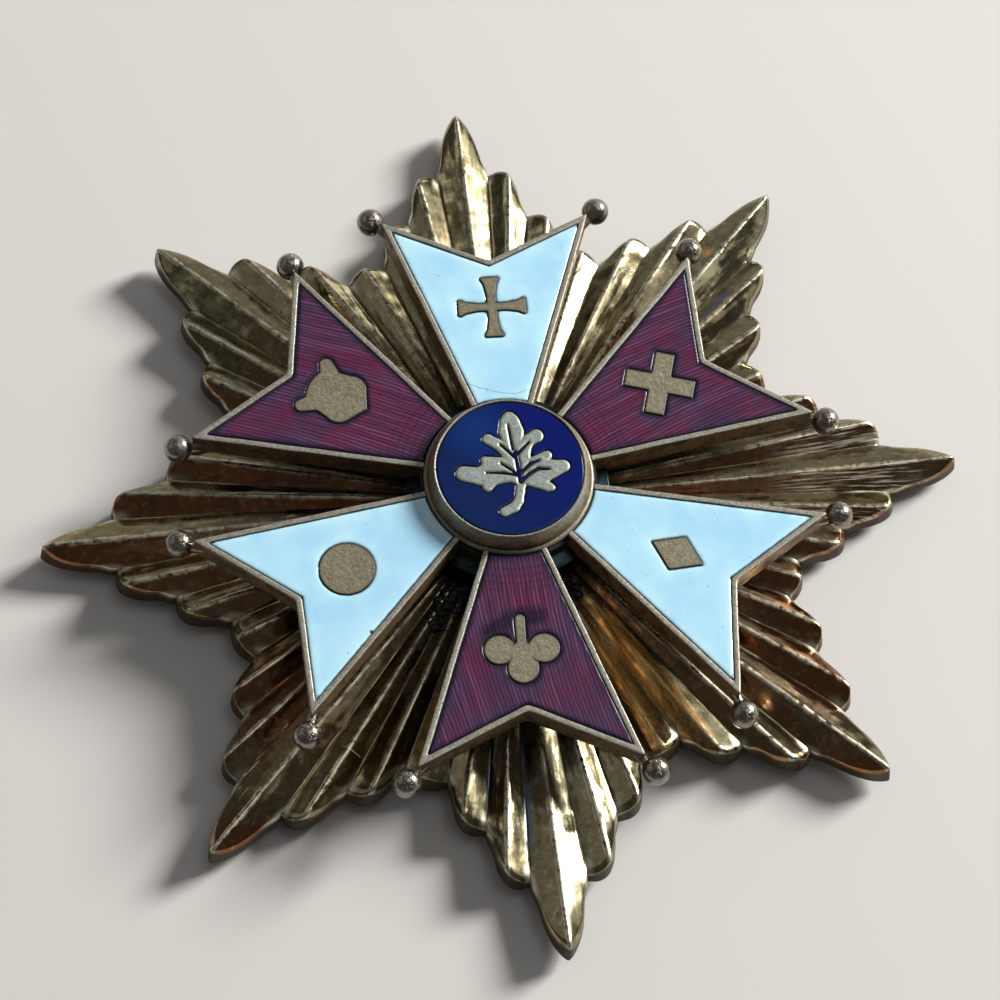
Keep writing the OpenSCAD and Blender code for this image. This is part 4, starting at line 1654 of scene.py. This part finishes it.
    def _balls(self, metal: Material) -> Piece:
        """Balls on the arms' outer corners, each on a short neck."""
        (x, y), (out_x, out_y), (in_x, in_y) = self.corner, self.ball_out, self.neck_in
        height = LEVELS.cross + self.height / 2 - 0.15
        places, necks = [], []
        for number in range(len(self.arms)):
            for side in (-1, 1):
                ends = np.array([(side * (x + out_x), y + out_y), (side * (x - in_x), y - in_y)])
                ball, foot = self.place(number)(ends)
                places.append((*ball, height))
                necks.append((*(foot - ball), 0.0))
        sizes = {
            "Ball radius": self.ball * MM,
            "Neck radius": self.neck * MM,
            "Neck length": math.hypot(*necks[0][:2]) * MM,
            "Wear": 0.05 * MM,
        }
        graph = ShapeGraph("corner_balls", sizes)
        ball_r, neck_r, long, wear = (graph.size(label) for label in sizes)
        inputs = {"Segments": 40, "Rings": 24, "Radius": ball_r}
        sphere = graph.node("GeometryNodeMeshUVSphere", inputs=inputs)
        inputs = {"Vertices": 24, "Radius": neck_r, "Depth": long}
        bar = graph.node("GeometryNodeMeshCylinder", inputs=inputs)
        inputs = {"Geometry": graph.out(bar), "Translation": graph.vector(0, 0, long / 2)}
        bar = graph.node("GeometryNodeTransform", inputs=inputs)
        toward = graph.carried("neck", "FLOAT_VECTOR")
        aim = graph.node("FunctionNodeAlignRotationToVector", {"axis": "Z"}, {"Vector": toward})
        both = graph.node("GeometryNodeJoinGeometry")
        for made in (graph.copies(sphere), graph.copies(bar, Rotation=graph.out(aim))):
            graph.feed(both.inputs[0], made)
        worn = graph.roughened(graph.out(both), lambda spot: (graph.noise(spot, 700, 2) - 0.5) * wear)
        graph.finish(worn, metal)
        balls = graph.grow("corner_balls", loose_points("ball_places", places, "neck", "FLOAT_VECTOR", necks))
        turn_outwards(balls.data)
        shade(balls.data, CRISP_GROWN)
        return balls

    def fill(self, white: Material, crimson: Material) -> list[Piece]:
        """Builds the enamel of each cell."""
        inset, width = self.rim + self.gap, self.corner[0]
        top = eased(LEVELS.enamel[1] - 0.012, 0.07, 0.2, 0.01, 5, 9)
        made = []
        for number, plan in enumerate(self.arms):
            cell = without(self.outline(number, inset), disc((0, 0), self.filling))
            shape = without(cell, self.charge(number), margin=self.gap)
            corners = self.corners(number, inset, self.root)[1:4]
            form = Form()
            low, high = (-width, 6), (width, self.corner[1])
            cut = Relief(shape, low, high, self.cell_step, (0.08, 0.2, 0.45, 0.9), corners)
            cut.raise_on(form, LEVELS.enamel[0], top, self.place(number))
            x, y = (np.array(form.marks[label]) for label in ("arm_x", "arm_y"))
            beyond = y - self.hub
            form.marks["line"] = list(x + plan.cut[0] * beyond + plan.cut[1] * beyond**2)
            piece = form.piece(plan.enamel + "_glaze", white if plan.white else crimson)
            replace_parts(piece, plan.enamel)
            made.append(piece)
        return made


@dataclass
class Boss:
    """The round boss: a lipped cup on a stud, a leaf in relief and blue enamel round it."""

    radius: float = 6.65
    # Width of the slope outside the cup, and radius of the bead at its foot
    lip: float = 0.7
    bead: float = 0.27
    # Undercut and slope of the side from below: share of the lip's width inwards, share of the height,
    # how far sunk out of the light and how brown
    slope: tuple[Row, ...] = (
        (0.2, 0.27, 1, 1), (0.2, 0.34, 1, 1), (0.05, 0.365, 0.6, 1), (0, 0.39, 0.2, 1), (0.03, 0.46, 0, 1),
        (0.17, 0.58, 0, 0.9), (0.37, 0.72, 0, 0.6), (0.6, 0.85, 0, 0.2), (0.68, 0.93, 0, 0),
        (0.72, 0.98, 0, 0), (0.78, 1, 0, 0),
    )
    # Depth of the cup, and radius of the stud
    cup: float = 0.5
    stud: float = 2
    # Radius and thickness of the rivet's head behind the star
    rivet: Place = (3, 0.4)
    gap: float = 0.03
    # Lobes and stem: inner x, inner y, inner radius, outer x, outer y, outer radius
    lobes: tuple[Row, ...] = (
        (0.5, -0.6, 0.9, 0.5, 1.6, 0.6), (0.5, 1.6, 0.6, 0.5, 3.2, 1), (0.5, 3.2, 1, 0.5, 4.1, 0.8),
        (0.5, 4.1, 0.8, 0.5, 4.55, 0.48),
        (0.3, 0.6, 0.5, -0.3, 1.7, 0.5), (-0.3, 1.7, 0.5, -0.85, 2.25, 0.46),
        (-0.85, 2.25, 0.46, -1.45, 2.7, 0.5),
        (1.1, 0.6, 0.6, 1.3, 1.7, 0.62), (1.3, 1.7, 0.62, 1.85, 2.3, 0.5), (1.85, 2.3, 0.5, 2.45, 2.6, 0.62),
        (0, -0.4, 0.9, -1.3, -0.2, 1.15), (-1.3, -0.2, 1.15, -2.5, -0.5, 0.78),
        (-2.5, -0.5, 0.78, -3.75, -0.15, 0.7), (-0.6, 0.3, 0.7, -1.95, 0.85, 0.38),
        (-1.6, -0.9, 0.6, -2, -1.5, 0.45),
        (1.2, -0.6, 0.8, 2.5, -0.6, 1), (2.5, -0.6, 1, 3.3, -0.45, 0.8), (3.3, -0.45, 0.8, 4.25, -0.3, 0.58),
        (1.9, 0.15, 0.6, 3.1, 0.8, 0.42), (1.6, -1.3, 0.6, 2.8, -2, 0.42), (2.8, -2, 0.42, 3.1, -2.1, 0.3),
        (0.75, -1.3, 0.45, 0.5, -2.3, 0.35), (0.5, -2.3, 0.35, 0.3, -3, 0.38),
        (0.3, -3, 0.38, -0.1, -3.5, 0.42), (-0.1, -3.5, 0.42, -0.95, -3.83, 0.43),
    )
    # Furrows, in the same columns
    furrows: tuple[Row, ...] = (
        (0.41, 1.6, 0.09, 0.3, 3.8, 0.05), (0.72, -1.3, 0.2, 0.62, 1.3, 0.16),
        (0.5, 0.9, 0.13, -0.55, 2.13, 0.05), (0.75, 1.15, 0.12, 1.8, 2.1, 0.06),
        (0.6, -0.7, 0.09, -0.7, 0.45, 0.05), (0.6, -0.75, 0.1, -0.6, -0.42, 0.09),
        (-0.6, -0.42, 0.09, -1.95, -0.26, 0.05), (0.8, -0.55, 0.12, 1.7, 0.18, 0.14),
        (1.7, 0.18, 0.14, 2.4, 0.4, 0.07),
        (0.8, -1.25, 0.13, 1.47, -0.72, 0.14), (1.47, -0.72, 0.14, 2.22, -0.34, 0.13),
        (2.22, -0.34, 0.13, 3.1, -0.45, 0.07),
    )

    @staticmethod
    def _rods(table: Sequence[Sequence[float]], blend: float) -> Outline:
        """Outline round the rods of a table."""
        return joined([rod(row[0:2], row[2], row[3:5], row[5]) for row in table], blend)

    def leaf_outline(self) -> Outline:
        """Outline of the leaf with its furrows cut out."""
        return without(self._rods(self.lobes, 0.07), self._rods(self.furrows, 0.03))

    def _profile(self, floor: float) -> list[Row]:
        """Radius, height, share of painted shade where sunk and how brown, from the cup's floor round to the
        stud's end.
        """
        top, base, rim, end = LEVELS.lip, LEVELS.enamel[0], self.radius, LEVELS.stud_end
        cup_r = rim - self.lip
        rivet_r, rivet_top = self.rivet[0], end + self.rivet[1]
        lip = [
            (0, floor, 1, 0), (cup_r, floor, 1, 0), (cup_r, top - 0.12, 0.4, 0),
            (cup_r + 0.03, top - 0.04, 0, 0), (cup_r + 0.07, top - 0.005, 0, 0), (cup_r + 0.11, top, 0, 0),
        ]
        side = [
            (rim - inwards * self.lip, base + up * (top - base), sunk, brown)
            for inwards, up, sunk, brown in self.slope[::-1]
        ]
        curve = arc((rim, base + self.bead), self.bead, 115, -65, 9)
        bead = [(x, z, 1 if x < rim - 0.05 else 0, 0.3) for x, z in curve]
        stud = [
            (rim + self.bead * 0.2, base, 1, 0), (self.stud, base, 1, 0), (self.stud, rivet_top, 0, 0),
            (rivet_r - 0.15, rivet_top, 0, 0), (rivet_r, rivet_top - 0.15, 0, 0),
            (rivet_r - 0.25, end + 0.06, 0, 0), (1.2, end, 0, 0), (0, end, 0, 0),
        ]
        return lip + side + bead + stud

    def build(self, metal: Material, leaf: Material, enamel: Material) -> list[Piece]:
        """Builds the cup with its stud, the leaf and the enamel."""
        cup_r, floor = self.radius - self.lip, LEVELS.lip - self.cup
        radii, heights, sunk, brown = zip(*self._profile(floor))
        form = Form()
        lathe(form, list(zip(radii, heights)), 220, 0.03, sunk=sunk, wall=brown)
        ring = form.piece("boss_ring", metal)
        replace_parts(ring, "boss_bezel")

        outline = self.leaf_outline()
        form = Form()
        top = eased(LEVELS.lip - 0.02, 0.1, 0.2, 0.012, 0.9, 4)
        Relief(outline, (-4.7, -4.4), (5.1, 5.3), 0.1, (0.04, 0.1, 0.2)).raise_on(form, floor - 0.02, top)
        badge = form.piece("leaf_relief", leaf)

        glaze = without(disc((0, 0), cup_r - self.gap), outline, margin=0.02)
        form = Form()
        top = eased(LEVELS.blue[1], 0.05, 0.16, -0.006, 3, 6)
        cut = Relief(glaze, (-cup_r, -cup_r), (cup_r, cup_r), 0.16, (0.06, 0.16, 0.4))
        cut.raise_on(form, LEVELS.blue[0], top)
        glass = form.piece("boss_glaze", enamel)
        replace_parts(glass, "boss_enamel")
        return [ring, badge, glass]


@dataclass
class Hardware:
    """The disc between star and cross, the pin behind the star and the solder that holds them."""

    bevel: float = 0.07
    # Wedges between two arms that hold dark solder: bearing, half width, inner and outer distance, beads
    solder: tuple[Row, ...] = (
        (213.5, 7, 8.4, 13.2, 90), (153.5, 6, 8.4, 10.5, 12), (33.5, 6, 8.3, 9.4, 6), (273.5, 6, 8.3, 9.6, 7),
    )
    bead: float = 0.36
    # Power by which beads crowd towards the boss, least share of a bead's size and what chance adds to it
    crowding: float = 1.4
    bead_sizes: Place = (0.45, 0.75)
    seed: int = 7

    def bevelled(self, node: str, name: str, finish: Material, slot: Slot) -> Piece:
        """Copies a solid with its edges broken.

        Args:
            node: Solid to stand for.
            name: Name of the piece.
            finish: Its material.
            slot: The record's finish for it. Not used.

        Returns:
            The finished piece.
        """
        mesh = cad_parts[node].data.copy()
        turn_outwards(mesh, weld=True)
        mesh.materials.clear()
        mesh.materials.append(finish)
        piece = link(name, mesh)
        edge = piece.modifiers.new("edges", "BEVEL")
        edge.width = self.bevel * MM
        edge.segments = 2
        edge.limit_method = "ANGLE"
        edge.angle_limit = 35 * DEG
        settled(piece)
        shade(piece.data, CRISP)
        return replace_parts(piece, node)

    def beads(self, star: StarPlate, finish: Material) -> Piece:
        """Builds the lumps of solder that lie on the star between the arms."""
        rng = np.random.default_rng(self.seed)
        places, sizes = [], []
        for bearing, half, near, far, count in self.solder:
            for _ in range(int(count)):
                reach = near + (far - near) * rng.random() ** self.crowding
                turn = (bearing + half * (2 * rng.random() - 1) * (1.2 - 0.05 * reach)) * DEG
                height = LEVELS.ridge - star.groove_rate * reach * 0.6
                places.append((reach * math.sin(turn), reach * math.cos(turn), height))
                sizes.append(self.bead_sizes[0] + self.bead_sizes[1] * rng.random())
        graph = ShapeGraph("solder_beads", {"Bead radius": self.bead * MM, "Lumps": 0.22 * MM})
        radius, lumps = graph.size("Bead radius"), graph.size("Lumps")
        ball = graph.node("GeometryNodeMeshIcoSphere", inputs={"Radius": radius, "Subdivisions": 4})
        size = Num(graph, graph.carried("size"))
        beads = graph.copies(ball, Scale=graph.vector(size * 1.3, size, size * 0.7))
        worn = graph.roughened(beads, lambda spot: (graph.noise(spot, 1500, 3, 0.6) - 0.45) * lumps * 2)
        graph.finish(worn, finish)
        seed = loose_points("bead_places", places, "size", "FLOAT", sizes)
        return graph.grow("solder_beads", seed)


@dataclass(frozen=True)
class PlainPaper(Finish):
    """Matte pale paper of the floor."""

    name: str = "floor_paper"
    tint: Colour = (0.70, 0.67, 0.63)
    rough: float = 0.8

    def paint(self, graph: Graph) -> dict[str, object]:
        """Gives the shader's inputs."""
        return {"Base Color": self.tint, "Roughness": self.rough}


@dataclass
class Studio:
    """The pale floor, the soft light and the camera."""

    # Place that the camera looks at, its angles in degrees and its distance from that place
    target: Space = (-0.54, -0.02, 3.4)
    azimuth: float = -13.1
    elevation: float = 64.59
    roll: float = 6.24
    distance: float = 207.9
    # Focal length and width of the picture in its points, and width of the sensor
    focal_px: float = 2525.3
    frame_px: float = 1000
    sensor: float = 36
    floor_size: float = 3000
    # Direction from the brooch, distance, size and power of each lamp
    lamps: tuple[tuple[Space, float, float, float], ...] = (
        ((0.80, 0.34, 0.49), 1200, 410, 23),
        ((0.80, 0.42, 0.43), 1300, 800, 1.9),
        ((0.93, -0.02, 0.37), 800, 330, 0.16),
        ((-0.565, 0.64, 0.525), 800, 160, 0.06),
        ((0.10, 0.45, 0.90), 800, 600, 0.11),
        ((0.05, 0.94, 0.26), 800, 820, 0.50),
        ((0.56, 0.79, 0.22), 800, 200, 0.2),
        ((-0.78, 0.22, 0.58), 800, 600, 0.22),
        ((0.30, 0.08, 0.95), 800, 310, 0.30),
    )
    world: Colour = (0.98, 0.99, 1.0)
    world_strength: float = 0.085

    def build(self) -> None:
        """Sets the floor, the lamps, the world and the camera."""
        self._floor()
        for number, (direction, distance, size, power) in enumerate(self.lamps):
            light = bpy.data.lights.new(f"softbox_{number}", "AREA")
            light.shape = "DISK"
            light.size = size * MM
            light.energy = power
            lamp = bpy.data.objects.new(light.name, light)
            lamp.location = Vector(direction).normalized() * distance * MM
            lamp.rotation_euler = Vector(direction).to_track_quat("Z", "Y").to_euler()
            bpy.context.scene.collection.objects.link(lamp)
        world = bpy.data.worlds.new("studio")
        world.use_nodes = True
        graph = Graph(world.node_tree)
        sky = graph.node("ShaderNodeBackground", inputs={0: self.world, "Strength": self.world_strength})
        graph.node("ShaderNodeOutputWorld", inputs={0: graph.out(sky)})
        bpy.context.scene.world = world
        bpy.context.scene.view_settings.view_transform = "Standard"
        self._camera()

    def _floor(self) -> None:
        """A plain pale floor."""
        half = self.floor_size / 2
        form = Form()
        corners = np.array([(-half, -half, 0), (half, -half, 0), (half, half, 0), (-half, half, 0)])
        form.add(corners, [(0, 1, 2, 3)])
        form.piece("floor", PlainPaper().material())

    def _camera(self) -> None:
        """The camera at the photograph's angle."""
        azimuth, elevation, roll = (angle * DEG for angle in (self.azimuth, self.elevation, self.roll))
        level = math.cos(elevation)
        back = Vector((math.sin(azimuth) * level, -math.cos(azimuth) * level, math.sin(elevation)))
        right = Vector((math.cos(azimuth), math.sin(azimuth), 0))
        up = back.cross(right)
        c, s = math.cos(roll), math.sin(roll)
        right, up = right * c + up * s, up * c - right * s
        camera = bpy.data.cameras.new("camera")
        camera.sensor_width = self.sensor
        camera.lens = self.focal_px / self.frame_px * self.sensor
        camera.clip_start = 0.01
        camera.dof.use_dof = False
        eye = bpy.data.objects.new("camera", camera)
        turn = Matrix((right, up, back)).transposed().to_4x4()
        eye.matrix_world = Matrix.Translation((Vector(self.target) + back * self.distance) * MM) @ turn
        bpy.context.scene.collection.objects.link(eye)
        bpy.context.scene.camera = eye


def main() -> None:
    """Builds the brooch and the studio round it."""
    logging.basicConfig(level=logging.INFO, format="%(name)s: %(message)s")
    star, cross, boss, hardware = StarPlate(), Cross(), Boss(), Hardware()
    knobs = WornPewter(
        "knob_pewter", (0.27, 0.24, 0.20), shine=(0.38, 0.35, 0.31), polish=0.12, shining=1, speckle=0.2
    )
    boss_metal = WornPewter("boss_pewter", shade_reach=(6.3, 7.4))
    leaf = ScratchedBrass(
        "leaf_pewter", (0.25, 0.29, 0.27), (0.56, 0.64, 0.60), edging=(0.36, 0.32, 0.15), border=0.045
    )
    steel = PlainMetal("blued_steel", (0.035, 0.06, 0.07), (0.01, 0.012, 0.012))
    pin = PlainMetal("pin_steel", (0.55, 0.53, 0.48), (0.32, 0.27, 0.18))
    solder = PlainMetal("old_solder", (0.030, 0.036, 0.033), (0.008, 0.009, 0.008), 0.35, 0.5)
    pieces = [
        star.grow(TarnishedGilt().material()),
        *cross.build(WornPewter().material(), knobs.material(), ScratchedBrass().material()),
        *cross.fill(WhiteEnamel().material(), CrimsonEnamel().material()),
        *boss.build(boss_metal.material(), leaf.material(), BlueEnamel().material()),
        hardware.bevelled("spacer_disc", "blued_disc", steel.material(), Slot.DISC),
        hardware.bevelled("brooch_pin", "pin_set", pin.material(), Slot.PIN),
        hardware.beads(star, solder.material()),
    ]
    for piece in pieces:
        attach(piece, BODY)
        LOG.info("%s: %d faces", piece.name, len(piece.data.polygons))
    Studio().build()


if __name__ == "__main__":
    main()
